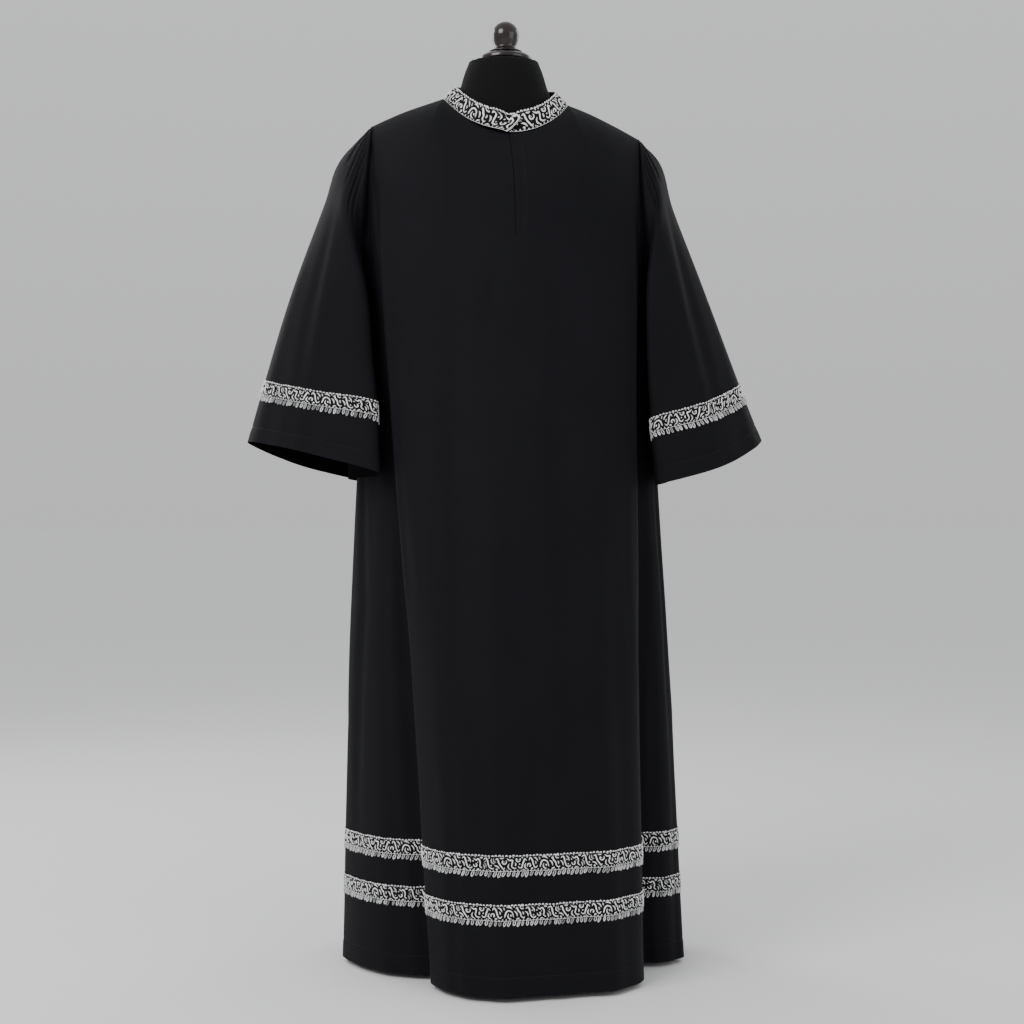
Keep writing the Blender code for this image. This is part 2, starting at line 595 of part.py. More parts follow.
def collar_grid():
    """Outer points of the collar, rows from the neck seam up.

    It starts under the lap at centre front, runs round by the wearer's left, the back and the
    right, and laps over itself.
    """
    half = NECK_COLUMNS // 2
    front = panel_top(True)[NECK_START:NECK_END + 1]
    back = panel_top(False)[NECK_START:NECK_END + 1]
    loop = np.concatenate([front[half + 1:], back[::-1][1:], front[1:half + 1]])
    last = len(loop) - 1
    places = np.concatenate([[-COLLAR_LAP], np.arange(last + 1), [last + COLLAR_LAP]])
    start = loop[0] + (loop[0] - loop[1]) * COLLAR_LAP
    end = loop[-1] + (loop[-1] - loop[-2]) * COLLAR_LAP
    base = np.concatenate([[start], loop, [end]])
    base[0, 2] = front[half - 1, 2] + LAP_RISE
    base[-1, 2] = front[half + 2, 2] + LAP_RISE
    turn = np.arctan2(base[:, 0] - NECKLINE_TURN * 0.5, -base[:, 1])
    turn = np.unwrap(turn)
    edge = collar_edge(turn)
    lap_start, lap_spread = LAP_COLUMNS
    lift = np.clip((places - (last - lap_start)) / lap_spread, 0, 1)
    lift = (lift * lift * (3 - 2 * lift))[:, None] * LAP_LIFT
    away = unit(base * np.array([1.0, 1.0, 0.0]))
    grid = []
    for part in (0.0, 0.5, 1.0):
        row = base + (edge - base) * part
        row = row + away * (lift + COLLAR_ROLL * math.sin(math.pi * part))
        grid.append(row)
    grid = np.array(grid)
    grid[:, -1] += (grid[:, -1] - grid[:, -2]) * np.array(COLLAR_END_SLANT)[:, None]
    return lean(grid), places, lift


def form_top(front):
    """Seam points of the form's half: arm plate, shoulder ridge and neck root."""
    face = 1.0 if front else -1.0
    seam = lean(panel_top(front))
    drop = (CLOTH + FORM_SEAT_GAP) * SHOULDER_SLOPE
    climb = np.arange(FORM_ARM_COLUMNS) / FORM_ARM_COLUMNS
    angle = face * math.pi * (1 - climb)
    tip_right, tip_left = seam[FORM_RIDGE[0]], seam[LAST_COLUMN - FORM_RIDGE[0]]
    arms = []
    for side, tip in ((-1.0, tip_right), (1.0, tip_left)):
        reach = tip[2] - drop - FORM_ARM_CENTRE
        high = (1 + np.cos(angle)) / 2
        x = side * (FORM_ARM_SIDE + (abs(tip[0]) - FORM_ARM_SIDE) * high)
        y = -FORM_ARM_DEPTH * np.sin(angle)
        arms.append(np.stack([x, y, FORM_ARM_CENTRE + reach * np.cos(angle)], axis=-1))
    ridge_right = seam[list(FORM_RIDGE)] - np.array([0, 0, drop])
    ridge_left = seam[[LAST_COLUMN - c for c in FORM_RIDGE]] - np.array([0, 0, drop])
    sweep = np.linspace(-math.pi / 2, math.pi / 2, FORM_ROOT_COLUMNS + 2)[1:-1]
    root = lean(neckline(sweep if front else math.pi - sweep)) * np.array(FORM_ROOT_SCALE)
    root[:, 2] -= FORM_ROOT_DROP
    return np.concatenate([arms[0], ridge_right, root, ridge_left[::-1], arms[1][::-1]])


def form_half(front):
    """Grid of points of the form's front or back half, rows from the top down."""
    face = -1.0 if front else 1.0
    top = form_top(front)
    count = len(top)
    across = np.arange(count)
    levels = [row[0] for row in FORM_SECTIONS]
    angle = (across / (count - 1) - 0.5) * math.pi
    sections = []
    for _, half_width, depth_front, depth_back in FORM_SECTIONS:
        depth = depth_front if front else depth_back
        side = half_width * np.sin(angle)
        sections.append(np.stack([side, face * depth * np.cos(angle)], axis=-1))
    heights = FORM_FLOOR + np.outer(FORM_ROWS, top[:, 2] - FORM_FLOOR)
    from_centre = np.abs(across - (count - 1) / 2)
    limits = [limit for limit, _ in FORM_ROUNDNESS]
    shares = np.array([share for _, share in FORM_ROUNDNESS])
    roundness = shares[np.searchsorted(limits, from_centre, side="right")]
    return hang_grid(levels, np.array(sections), top, heights, roundness)


def form_torso():
    """The form's torso and neck as one closed solid, closed at the arms, the neck and below."""
    mesh_data = bmesh.new()
    front, back = form_half(True), form_half(False)
    back[:, 0], back[:, -1] = front[:, 0], front[:, -1]
    columns = front.shape[1]
    arm_last = FORM_ARM_COLUMNS
    neck_from = FORM_ARM_COLUMNS + len(FORM_RIDGE) - 1
    neck_to = columns - 1 - neck_from
    for column in range(arm_last, neck_from + 1):
        back[0, column] = front[0, column]
        back[0, -1 - column] = front[0, -1 - column]

    def skin(grid):
        rows = [[mesh_data.verts.new(p) for p in row] for row in grid]
        for upper, lower in zip(rows, rows[1:]):
            for a, b, c, d in zip(upper, upper[1:], lower[1:], lower):
                mesh_data.faces.new((a, b, c, d))
        return rows

    skin(front)
    skin(back)
    root_front = front[0, neck_from:neck_to + 1]
    root_back = back[0, neck_from:neck_to + 1][::-1][1:-1]
    root = np.concatenate([root_front, root_back])
    turn = np.unwrap(np.arctan2(root[:, 0], -root[:, 1]))
    rings = [root]
    for radius, height, blend in FORM_NECK:
        across = NECK_SHIFT[0] + radius * np.sin(turn)
        deep = NECK_SHIFT[1] - NECK_DEPTH_SHARE * radius * np.cos(turn)
        ring = np.stack([across, deep, np.full(len(turn), height)], axis=-1)
        rings.append(root + (ring - root) * blend)
    rows = [[mesh_data.verts.new(p) for p in ring] for ring in rings]
    for lower, upper in zip(rows, rows[1:]):
        for index in range(len(lower)):
            after = (index + 1) % len(lower)
            mesh_data.faces.new((lower[index], lower[after], upper[after], upper[index]))
    mesh_data.faces.new(rows[-1])
    right_arm = list(range(arm_last + 1))
    left_arm = [columns - 1 - column for column in right_arm]
    for arm in (right_arm, left_arm):
        rim = [front[0, c] for c in arm] + [back[0, c] for c in arm[::-1]][1:-1]
        middle = mesh_data.verts.new(np.mean(rim, axis=0))
        points = [mesh_data.verts.new(p) for p in rim]
        for index, point in enumerate(points):
            mesh_data.faces.new((point, points[(index + 1) % len(points)], middle))
    bottom = np.concatenate([front[-1], back[-1][::-1][1:-1]])
    mesh_data.faces.new([mesh_data.verts.new(p) for p in bottom])
    bmesh.ops.remove_doubles(mesh_data, verts=mesh_data.verts[:], dist=0.00002)
    bmesh.ops.triangulate(mesh_data, faces=mesh_data.faces[:])
    return solid("form_torso", mesh_data)


def build_garment():
    """All cloth walls and the trims that lie on them, as a list of objects."""
    front, back = panel_grid(FRONT_FOLDS, True), panel_grid(BACK_FOLDS, False)
    front_out = grid_normals(front, np.array([0.0, -1.0, 0.0]))
    back_out = grid_normals(back, np.array([0.0, 1.0, 0.0]))
    for column in (0, LAST_COLUMN):
        shared = unit(front_out[:, column] + back_out[:, column])
        front_out[:, column] = back_out[:, column] = shared
    right_shoulder = list(range(ARMHOLE_COLUMNS, NECK_START + 1))
    shoulders = right_shoulder + [LAST_COLUMN - column for column in right_shoulder]
    shared = unit(front_out[0, shoulders] + back_out[0, shoulders])
    front_out[0, shoulders] = back_out[0, shoulders] = shared

    sleeves = {}
    turns = sleeve_turns()
    for side_name in ("right", "left"):
        grid = sleeve_grid(side_name)
        facing = grid_normals(grid, grid - grid.mean(axis=1, keepdims=True), closed=True)
        own = facing[0].copy()
        run = unit(grid[1] - grid[0])
        main = np.arange(2 * ARMHOLE_COLUMNS + 1) / (2 * ARMHOLE_COLUMNS)
        sleeve_at = [int(np.argmin(np.abs(turns - t))) for t in main[:-1]]
        seam_facing = np.empty((2 * ARMHOLE_COLUMNS, 3))
        for out, face in ((front_out, True), (back_out, False)):
            for step in range(ARMHOLE_COLUMNS + 1):
                column = ARMHOLE_COLUMNS - step
                if side_name == "left":
                    column = LAST_COLUMN - column
                index = step if face else (2 * ARMHOLE_COLUMNS - step) % (2 * ARMHOLE_COLUMNS)
                at = sleeve_at[index]
                panel_own = out[0, column].copy()
                hollow = float(panel_own @ run[at])
                panel_new = mitre(panel_own, own[at], hollow)
                sleeve_new = mitre(own[at], panel_own, hollow)
                if step == 0:
                    panel_new = unit(front_out[0, column] + back_out[0, column] + own[at])
                    sleeve_new = panel_new
                out[0, column] = panel_new
                seam_facing[index] = sleeve_new
        wrapped = np.concatenate([seam_facing, seam_facing[:1]])
        spread = np.stack([np.interp(turns, main, wrapped[:, axis]) for axis in range(3)], axis=-1)
        facing[0] = unit(spread)
        sleeves[side_name] = (grid, facing)

    pieces = []
    half_gap = SEAM_GAP / 2
    slit = {(row, SLIT_COLUMN) for row in range(SLIT_ROWS)}
    trimmed = {}
    for name, grid, out in (("front_panel", front, front_out), ("back_panel", back, back_out)):
        shift = np.zeros_like(grid)
        shift[0] += draw_in(grid[0], out[0], grid[1], half_gap)
        shift[:, 0] += draw_in(grid[:, 0], out[:, 0], grid[:, 1], half_gap)
        shift[:, -1] += draw_in(grid[:, -1], out[:, -1], grid[:, -2], half_gap)
        cut = grid + shift
        trimmed[name] = cut
        missing = slit if name == "front_panel" else ()
        pieces.append((wall(name, cut, cut - out * CLOTH, missing=missing), "cloth"))

    for side_name, (grid, facing) in sleeves.items():
        cut = grid.copy()
        high = (1 - underarm_share(turns))[:, None]
        cut[0] += draw_in(grid[0], facing[0], grid[1], ARMHOLE_GAP, closed=True) * high
        pieces.append((wall("sleeve_" + side_name, cut, cut - facing * CLOTH, closed=True), "cloth"))
        top, low = SLEEVE_BAND_ROWS
        base = np.array([cut[low], cut[top]])
        out = np.array([facing[low], facing[top]])
        made = band("sleeve_trim_" + side_name, base, out, closed=True)
        pieces.append((made, "galloon"))

    first_low = len(UPPER_ROWS)
    bands = {"upper": (first_low + 1, first_low), "lower": (first_low + 3, first_low + 2)}
    for face, out in (("front", front_out), ("back", back_out)):
        cut = trimmed[face + "_panel"]
        skipped = SLIT_COLUMN + 1 if face == "front" else -1
        keep = [column for column in range(LAST_COLUMN + 1) if column != skipped]
        for level, (low, top) in bands.items():
            base = np.array([cut[low, keep], cut[top, keep]])
            facing = np.array([out[low, keep], out[top, keep]])
            name = f"hem_trim_{level}_{face}"
            pieces.append((band(name, base, facing), "galloon"))

    collar, places, lift = collar_grid()
    collar_out = grid_normals(collar, collar - np.array([0.0, 0.0, 1.42]))
    collar[0] += unit(collar[1] - collar[0]) * (SEAM_GAP + 0.35 * lift)
    pieces.append((wall("collar", collar, collar - collar_out * CLOTH), "cloth"))
    shown = [index for index, place in enumerate(places) if place >= 0]
    base = np.array([collar[0, shown], collar[2, shown]])
    middle = collar[1, shown]
    facing = np.array([collar_out[0, shown], collar_out[2, shown]])
    pieces.append((collar_trim(base, middle, facing, collar_out[1, shown]), "galloon"))

    strip = list(range(SLIT_COLUMN - 1, SLIT_COLUMN + 3))
    rows = list(range(1, SLIT_ROWS + 2))
    part = trimmed["front_panel"][np.ix_(rows, strip)]
    facing = front_out[np.ix_(rows, strip)]
    outside = part - facing * (CLOTH + SEAM_GAP)
    pieces.append((wall("placket_underlap", outside, outside - facing * UNDERLAP), "cloth"))
    return pieces


def collar_trim(base, middle, facing, middle_facing):
    """Band on the collar, in three rows so that it follows the collar's roll."""
    inner = np.array([base[0], middle, base[1]])
    out = np.array([facing[0], middle_facing, facing[1]])
    inner = inner + out * SEAM_GAP
    thick = np.array([TRIM_BORDER, TRIM_FIELD, TRIM_BORDER])[:, None, None]
    return wall("collar_trim", inner + out * thick, inner)


FINISHES = {
    "cloth": ("black_cloth", (0.012, 0.012, 0.014), 0.85, 0.0),
    "galloon": ("silver_galloon", (0.62, 0.62, 0.64), 0.42, 0.6),
    "form_cloth": ("form_jersey", (0.008, 0.008, 0.009), 0.9, 0.0),
    "wood": ("dark_turned_wood", (0.045, 0.018, 0.012), 0.22, 0.0),
    "metal": ("dark_metal", (0.06, 0.055, 0.055), 0.35, 0.9),
}


def main():
    """Build every piece, give it its material and put it in the collection."""
    group = start_collection()
    finishes = {key: finish(*values) for key, values in FINISHES.items()}
    pieces = build_garment()
    pieces.append((form_torso(), "form_cloth"))
    pieces.append((turned("form_neck_cap", CAP_PROFILE, 24), "wood"))
    pieces.append((turned("form_finial", FINIAL_PROFILE, 24), "wood"))
    pieces.append((turned("form_hub", HUB_PROFILE, 24), "metal"))
    pieces.append((turned("form_pole", POLE_PROFILE, 24), "metal"))
    pieces.append((turned("form_base", BASE_PROFILE, 40), "metal"))
    for piece, key in pieces:
        piece.data.materials.append(finishes[key])
        group.objects.link(piece)


main()
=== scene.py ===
"""An alb on a limbless dress form: black cloth, silver galloon, dressed for its picture.

Every piece is worked out as a grid of points. A panel's or sleeve's grid is its skin: it follows
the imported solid's form and carries the creases, and the bands, stitches and loops are laid on it.
Units are metres, the front faces -Y, and the wearer's right is -X.
"""
import json
import logging
import math
from dataclasses import dataclass, field
from enum import Enum
from functools import cache

import bpy
import numpy as np
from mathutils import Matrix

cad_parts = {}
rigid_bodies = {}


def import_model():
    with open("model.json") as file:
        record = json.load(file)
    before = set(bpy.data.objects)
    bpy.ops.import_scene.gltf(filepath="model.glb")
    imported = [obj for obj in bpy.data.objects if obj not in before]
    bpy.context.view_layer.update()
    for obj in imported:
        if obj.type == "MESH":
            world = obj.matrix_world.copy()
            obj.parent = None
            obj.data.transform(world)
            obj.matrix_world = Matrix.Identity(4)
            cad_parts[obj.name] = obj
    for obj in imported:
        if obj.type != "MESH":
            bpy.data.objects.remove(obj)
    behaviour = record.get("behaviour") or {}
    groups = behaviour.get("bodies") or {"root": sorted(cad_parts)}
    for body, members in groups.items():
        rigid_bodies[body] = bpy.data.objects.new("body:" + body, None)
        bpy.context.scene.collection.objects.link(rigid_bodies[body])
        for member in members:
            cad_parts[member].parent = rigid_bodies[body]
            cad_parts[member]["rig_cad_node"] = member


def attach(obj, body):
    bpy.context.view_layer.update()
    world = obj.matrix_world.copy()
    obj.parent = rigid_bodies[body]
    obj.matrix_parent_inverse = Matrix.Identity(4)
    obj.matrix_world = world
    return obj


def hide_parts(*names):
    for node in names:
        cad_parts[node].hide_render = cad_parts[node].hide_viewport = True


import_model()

Array = np.ndarray
Thing = bpy.types.Object
Material = bpy.types.Material
Socket = bpy.types.NodeSocket
Pair = tuple[float, float]
Triple = tuple[float, float, float]
Colour = tuple[float, float, float, float]
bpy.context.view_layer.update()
LOG = logging.getLogger("alb")
TURN = 2.0 * math.pi


class Face(Enum):
    """Which half of the garment a panel is."""

    FRONT = -1.0
    BACK = 1.0


class Side(Enum):
    """The wearer's side, with the sign of its x."""

    RIGHT = -1.0
    LEFT = 1.0


# Curves and grids


def unit(vectors: Array) -> Array:
    """Vectors brought to length one along their last axis."""
    return vectors / np.maximum(np.linalg.norm(vectors, axis=-1, keepdims=True), 1e-12)


def smooth(part: Array) -> Array:
    """Soft step: 0 up to 0, 1 from 1, and 3 t squared less 2 t cubed between."""
    part = np.clip(part, 0.0, 1.0)
    return part * part * (3.0 - 2.0 * part)


def slopes(knots: Array, values: Array) -> Array:
    """Slope at each knot: the mean of its two spans, weighted by the span on the other side.

    Args:
        knots: rising places.
        values: one row a knot.

    Returns:
        One row of slopes a knot.
    """
    span = np.diff(knots).reshape(-1, *[1] * (values.ndim - 1))
    rise = np.diff(values, axis=0) / span
    share = span[1:] / (span[1:] + span[:-1])
    return np.concatenate([rise[:1], rise[:-1] * share + rise[1:] * (1.0 - share), rise[-1:]])


def hermite(start: Array, end: Array, out: Array, into: Array, t: Array) -> Array:
    """Cubic between two points with the given slopes, at parts t of the way."""
    return (start * (2 * t**3 - 3 * t**2 + 1) + out * (t**3 - 2 * t**2 + t)
            + end * (3 * t**2 - 2 * t**3) + into * (t**3 - t**2))


def spline(knots: Array, values: Array, places: Array) -> Array:
    """Smooth curve through values at the knots.

    Args:
        knots: rising places of the values.
        values: one row a knot, of any shape.
        places: where the curve is read.

    Returns:
        One row a place, shaped as the values' rows.
    """
    knots, values, places = (np.asarray(a, float) for a in (knots, values, places))
    slope = slopes(knots, values)
    index = np.clip(np.searchsorted(knots, places, side="right") - 1, 0, len(knots) - 2)
    shape = (-1, *[1] * (values.ndim - 1))
    width = np.diff(knots)[index].reshape(shape)
    t = (places - knots[index]).reshape(shape) / width
    return hermite(values[index], values[index + 1], slope[index] * width,
                   slope[index + 1] * width, t)


def ring_spline(values: Array, turns: Array) -> Array:
    """Closed smooth curve through evenly spaced values, read at parts of a turn."""
    wrapped = np.concatenate([values[-2:], values, values[:3]])
    return spline(np.arange(-2, len(values) + 3) / len(values), wrapped, turns)


def column_curves(levels: Array, sections: Array, heights: Array) -> Array:
    """Smooth upright curves, one a column, each read at its own heights.

    Args:
        levels: heights of the sections, lowest first.
        sections: values at each level and column.
        heights: grid of heights, rows by columns.

    Returns:
        Grid of values, rows by columns.
    """
    levels = np.asarray(levels, float)
    slope = slopes(levels, sections)
    held = np.clip(heights, levels[0], levels[-1])
    index = np.clip(np.searchsorted(levels, held, side="right") - 1, 0, len(levels) - 2)
    column = np.arange(heights.shape[1])[None, :]
    width = np.diff(levels)[index][..., None]
    t = (held - levels[index])[..., None] / width
    return hermite(sections[index, column], sections[index + 1, column],
                   slope[index, column] * width, slope[index + 1, column] * width, t)


def run_length(points: Array, axis: int) -> Array:
    """Length walked along a grid's axis, from its first point.

    Args:
        points: grid of points.
        axis: 0 down the grid, 1 across it.

    Returns:
        Length at each grid point.
    """
    step = np.linalg.norm(np.diff(points, axis=axis), axis=-1)
    start = np.zeros_like(np.take(step, [0], axis=axis))
    return np.concatenate([start, np.cumsum(step, axis=axis)], axis=axis)


def laid_flat(points: Array) -> Array:
    """Flat place of each grid point: the lengths walked across and down to it."""
    return np.stack([run_length(points, 1), run_length(points, 0)], axis=-1)


def between(places: Array, knots: Array, rows: Array) -> Array:
    """Rows of three values read between their knots, straight from one to the next."""
    return np.stack([np.interp(places, knots, rows[:, k]) for k in range(3)], axis=-1)


def grid_normals(points: Array, outward: Array, closed: bool = False) -> Array:
    """Outward normals of a grid: the cross product of its two directions at each point.

    Args:
        points: grid of points.
        outward: rough outward direction of each point.
        closed: the last column lies on the first.

    Returns:
        Unit normals.
    """
    down = np.gradient(points, axis=0)
    if closed:
        ring = points[:, :-1]
        across = np.roll(ring, -1, axis=1) - np.roll(ring, 1, axis=1)
        across = np.concatenate([across, across[:, :1]], axis=1)
    else:
        across = np.gradient(points, axis=1)
    normals = unit(np.cross(across, down))
    return -normals if (normals * outward).sum() < 0 else normals


def tube_walls(number: Array) -> Array:
    """Faces between rings of points, from the points' numbers by ring and by place in it.

    Args:
        number: point numbers.

    Returns:
        Four point numbers a face.
    """
    after = np.roll(number, -1, axis=-1)
    corners = [number[..., :-1, :], number[..., 1:, :], after[..., 1:, :], after[..., :-1, :]]
    return np.stack(corners, axis=-1).reshape(-1, 4)


@dataclass
class Skin:
    """Outer side of a piece of cloth: a grid of points, rows down from its seam.

    columns and rows are the places by which the pattern knows the grid's lines, both rising. A
    closed skin goes all round, and its last column lies on its first. flat is where each point
    lay on the cut cloth, in metres across and down.
    """

    points: Array
    normals: Array
    flat: Array
    columns: Array
    rows: Array
    closed: bool = False

    def index(self, column: Array, row: Array, near: float = 0.0) -> tuple[Array, Array]:
        """Grid indexes of places. near is the column whose rows are read.

        Args:
            column: column places.
            row: row places.
            near: the column whose rows are read.

        Returns:
            Row and column indexes, unrounded.
        """
        at = int(np.argmin(np.abs(self.columns - near)))
        down = np.interp(row, self.rows[:, at], np.arange(len(self.rows)))
        return down, np.interp(column, self.columns, np.arange(len(self.columns)))

    def nearest(self, column: float, row: float, near: float) -> tuple[int, int]:
        """Row and column numbers of the grid point that lies nearest a place."""
        down, across = self.index(np.array(column), np.array(row), near)
        return int(round(float(down))), int(round(float(across)))

    def at(self, down: Array, across: Array) -> tuple[Array, Array]:
        """Points and normals between the grid's lines, straight from corner to corner.

        Args:
            down: row indexes.
            across: column indexes.

        Returns:
            Points and unit normals.
        """
        down, across = np.broadcast_arrays(down, across)
        i = np.clip(down.astype(int), 0, self.points.shape[0] - 2)
        j = np.clip(across.astype(int), 0, self.points.shape[1] - 2)
        a = (down - i)[..., None]
        b = (across - j)[..., None]

        def mixed(grid: Array) -> Array:
            """Four corners weighed by nearness.

            Args:
                grid: values at the grid's corners.

            Returns:
                Values at the places.
            """
            upper = grid[i, j] * (1 - b) + grid[i, j + 1] * b
            lower = grid[i + 1, j] * (1 - b) + grid[i + 1, j + 1] * b
            return upper * (1 - a) + lower * a

        return mixed(self.points), unit(mixed(self.normals))

    def raised(self, height: Array) -> "Skin":
        """The skin moved out along its normals, with its normals worked out anew.

        Args:
            height: how far each point moves.

        Returns:
            The moved skin.
        """
        points = self.points + self.normals * np.asarray(height)[..., None]
        normals = grid_normals(points, self.normals, self.closed)
        return Skin(points, normals, self.flat, self.columns, self.rows, self.closed)

    def size(self) -> Triple:
        """Width, length and area of the flat cloth, with what its folds take up.

        Returns:
            The three in metres and square metres.
        """
        wide = float(run_length(self.points, 1)[:, -1].max())
        long = float(run_length(self.points, 0)[-1].max())
        down, across = np.diff(self.points, axis=0)[:, :-1], np.diff(self.points, axis=1)[:-1]
        return wide, long, float(np.linalg.norm(np.cross(down, across), axis=-1).sum())


# Creases


@dataclass(frozen=True)
class Crease:
    """Soft fold: a path of column and row places, its half width and its height.

    A negative height is a trough. The fold fades in and out over a share of its length, but not
    at an end that lies on the cloth's edge.
    """

    path: tuple[float, ...]
    width: float
    height: float
    fade: float = 0.33

    def places(self) -> list[Pair]:
        """The path's points, each a column and a row place."""
        return list(zip(self.path[::2], self.path[1::2]))


def crease_height(ground: Array, spots: Array, crease: Crease,
                  edges: tuple[float | None, float]) -> Array:
    """Height that one crease gives each point of a skin.

    The height is h (1 - 0.55 q) exp(-q), where q is the squared distance from the path over the
    squared half width, so a trough has a low ridge on each side.

    Args:
        ground: across and down of each grid point, in metres.
        spots: the path's points in the same metres.
        crease: the fold's sizes.
        edges: row places of the cloth's head, if folds start there, and of its hem.

    Returns:
        Grid of heights.
    """
    steps = np.linalg.norm(np.diff(spots, axis=0), axis=1)
    starts = np.concatenate([[0.0], np.cumsum(steps)])
    nearest = np.full(ground.shape[:2], np.inf)
    walked = np.zeros(ground.shape[:2])
    for start, a, b, step in zip(starts, spots, spots[1:], steps):
        run = (b - a) / max(step, 1e-9)
        along = np.clip((ground - a) @ run, 0.0, step)
        gap = ((ground - a - along[..., None] * run) ** 2).sum(axis=-1)
        closer = gap < nearest
        nearest = np.where(closer, gap, nearest)
        walked = np.where(closer, start + along, walked)
    length = starts[-1]
    rows = crease.path[1::2]
    fade = np.ones_like(walked)
    if rows[0] != edges[0]:
        fade = fade * smooth(walked / (length * crease.fade))
    if rows[-1] != edges[1]:
        fade = fade * smooth((length - walked) / (length * crease.fade))
    q = nearest / crease.width**2
    return crease.height * (1.0 - 0.55 * q) * np.exp(-q) * fade


def unevenness(ground: Array, height: float, seed: int) -> Array:
    """Slight waviness of hanging cloth: eight long sine waves in different directions, summed.

    Args:
        ground: across and down of each point, in metres.
        height: about the greatest height.
        seed: start of the chance numbers.

    Returns:
        Grid of heights.
    """
    chance = np.random.default_rng(seed)
    total = np.zeros(ground.shape[:2])
    for _ in range(8):
        angle = chance.uniform(-0.5, 0.5) + (math.pi / 2 if chance.random() < 0.2 else 0.0)
        wave = chance.uniform(0.07, 0.24)
        run = ground[..., 0] * math.cos(angle) + ground[..., 1] * math.sin(angle) * 0.35
        total += np.sin(TURN * run / wave + chance.uniform(0, TURN)) * chance.uniform(0.4, 1.0)
    return total * height / 3.0


def sewn_edge(distance: Array) -> Array:
    """Profile of cloth beside a seam: drawn in at the seam, and a low roll beside it."""
    groove = -0.0008 * np.exp(-(distance / 0.0022) ** 2)
    return groove + 0.0006 * np.exp(-((distance - 0.007) / 0.0042) ** 2)


def turned_hem(distance: Array, depth: float) -> Array:
    """Profile of a turned hem: thicker up to its stitching, and pinched at the stitching."""
    pinch = np.exp(-((distance - depth) / 0.0026) ** 2)
    return 0.0005 * smooth((depth - distance) / 0.003 + 0.5) - 0.0007 * pinch


# Meshes


def linked(name: str, data: object) -> Thing:
    """Object that shows this data, in the scene.

    Args:
        name: its name.
        data: a mesh, lamp or camera.

    Returns:
        The object.
    """
    made = bpy.data.objects.new(name, data)
    bpy.context.scene.collection.objects.link(made)
    return made


def mesh_object(name: str, points: Array, faces: Array, uv: Array,
                tone: Array | None = None, caps: list[list[int]] | None = None) -> Thing:
    """Object from arrays of points and four-sided faces.

    Args:
        name: the piece's name.
        points: one row a point.
        faces: four point numbers a face.
        uv: flat place of each face's corners, faces by 4 by 2.
        tone: brightness of each point's thread, or 1 on the inner side of a cloth, which its material
            darkens as painted shade.
        caps: faces of any number of points that close its ends.

    Returns:
        The object, in the scene, shaded smooth.
    """
    mesh = bpy.data.meshes.new(name)
    caps = caps or []
    mesh.from_pydata(points.reshape(-1, 3).tolist(), [], faces.tolist() + caps)
    corners = uv.reshape(-1)
    spare = sum(len(cap) for cap in caps) * 2
    layer = mesh.uv_layers.new(name="flat")
    layer.uv.foreach_set("vector", np.concatenate([corners, np.zeros(spare)]).astype(np.float32))
    if tone is not None:
        mesh.attributes.new("tone", "FLOAT", "POINT").data.foreach_set(
            "value", tone.astype(np.float32))
    mesh.shade_smooth()
    mesh.set_sharp_from_angle(angle=math.radians(55))
    return linked(name, mesh)


def shell(name: str, skin: Skin, thickness: float, cells: Array | None = None) -> Thing:
    """Cloth of even thickness: the skin, a copy moved inwards along its normals, and rims.

    Args:
        name: the piece's name.
        skin: the cloth's outer side.
        thickness: the cloth's thickness.
        cells: which of the grid's cells hold cloth; all of them if left out.

    Returns:
        The closed shell as an object.
    """
    rows, spans = skin.points.shape[0], skin.points.shape[1] - 1
    count = spans if skin.closed else spans + 1
    outer = skin.points[:, :count]
    inner = outer - skin.normals[:, :count] * thickness
    number = np.arange(rows * count).reshape(rows, count)
    if skin.closed:
        number = np.concatenate([number, number[:, :1]], axis=1)
    held = np.ones((rows - 1, spans), bool) if cells is None else cells
    framed = np.zeros((rows + 1, spans + 2), bool)
    framed[1:-1, 1:-1] = held
    if skin.closed:
        framed[1:-1, 0], framed[1:-1, -1] = held[:, -1], held[:, 0]

    r, c = np.nonzero(held)
    square = ((0, 0), (0, 1), (1, 1), (1, 0))
    top = np.stack([number[r + i, c + j] for i, j in square], axis=1)
    top_uv = np.stack([skin.flat[r + i, c + j] for i, j in square], axis=1)
    faces, maps = [top, top[:, ::-1] + rows * count], [top_uv, top_uv[:, ::-1]]
    empty = (~framed[:-2, 1:-1], ~framed[1:-1, 2:], ~framed[2:, 1:-1], ~framed[1:-1, :-2])
    for k, gone in enumerate(empty):
        r, c = np.nonzero(held & gone)
        (i, j), (m, n) = square[k], square[(k + 1) % 4]
        first, second = number[r + i, c + j], number[r + m, c + n]
        faces.append(np.stack([second, first, first + rows * count, second + rows * count], 1))
        one, two = skin.flat[r + i, c + j], skin.flat[r + m, c + n]
        maps.append(np.stack([two, one, one, two], axis=1))
    quads, uv = np.concatenate(faces), np.concatenate(maps)
    corner = outer.reshape(-1, 3)[top]
    facing = np.cross(corner[:, 2] - corner[:, 0], corner[:, 3] - corner[:, 1])
    if (facing * skin.normals[:, :count].reshape(-1, 3)[top[:, 0]]).sum() < 0:
        quads, uv = quads[:, ::-1], uv[:, ::-1]
    points = np.concatenate([outer.reshape(-1, 3), inner.reshape(-1, 3)])
    # The inner layer gets tone 1, which the cloth's material darkens as painted shade
    return mesh_object(name, points, quads, uv, np.repeat([0.0, 1.0], rows * count))


# The garment's pattern


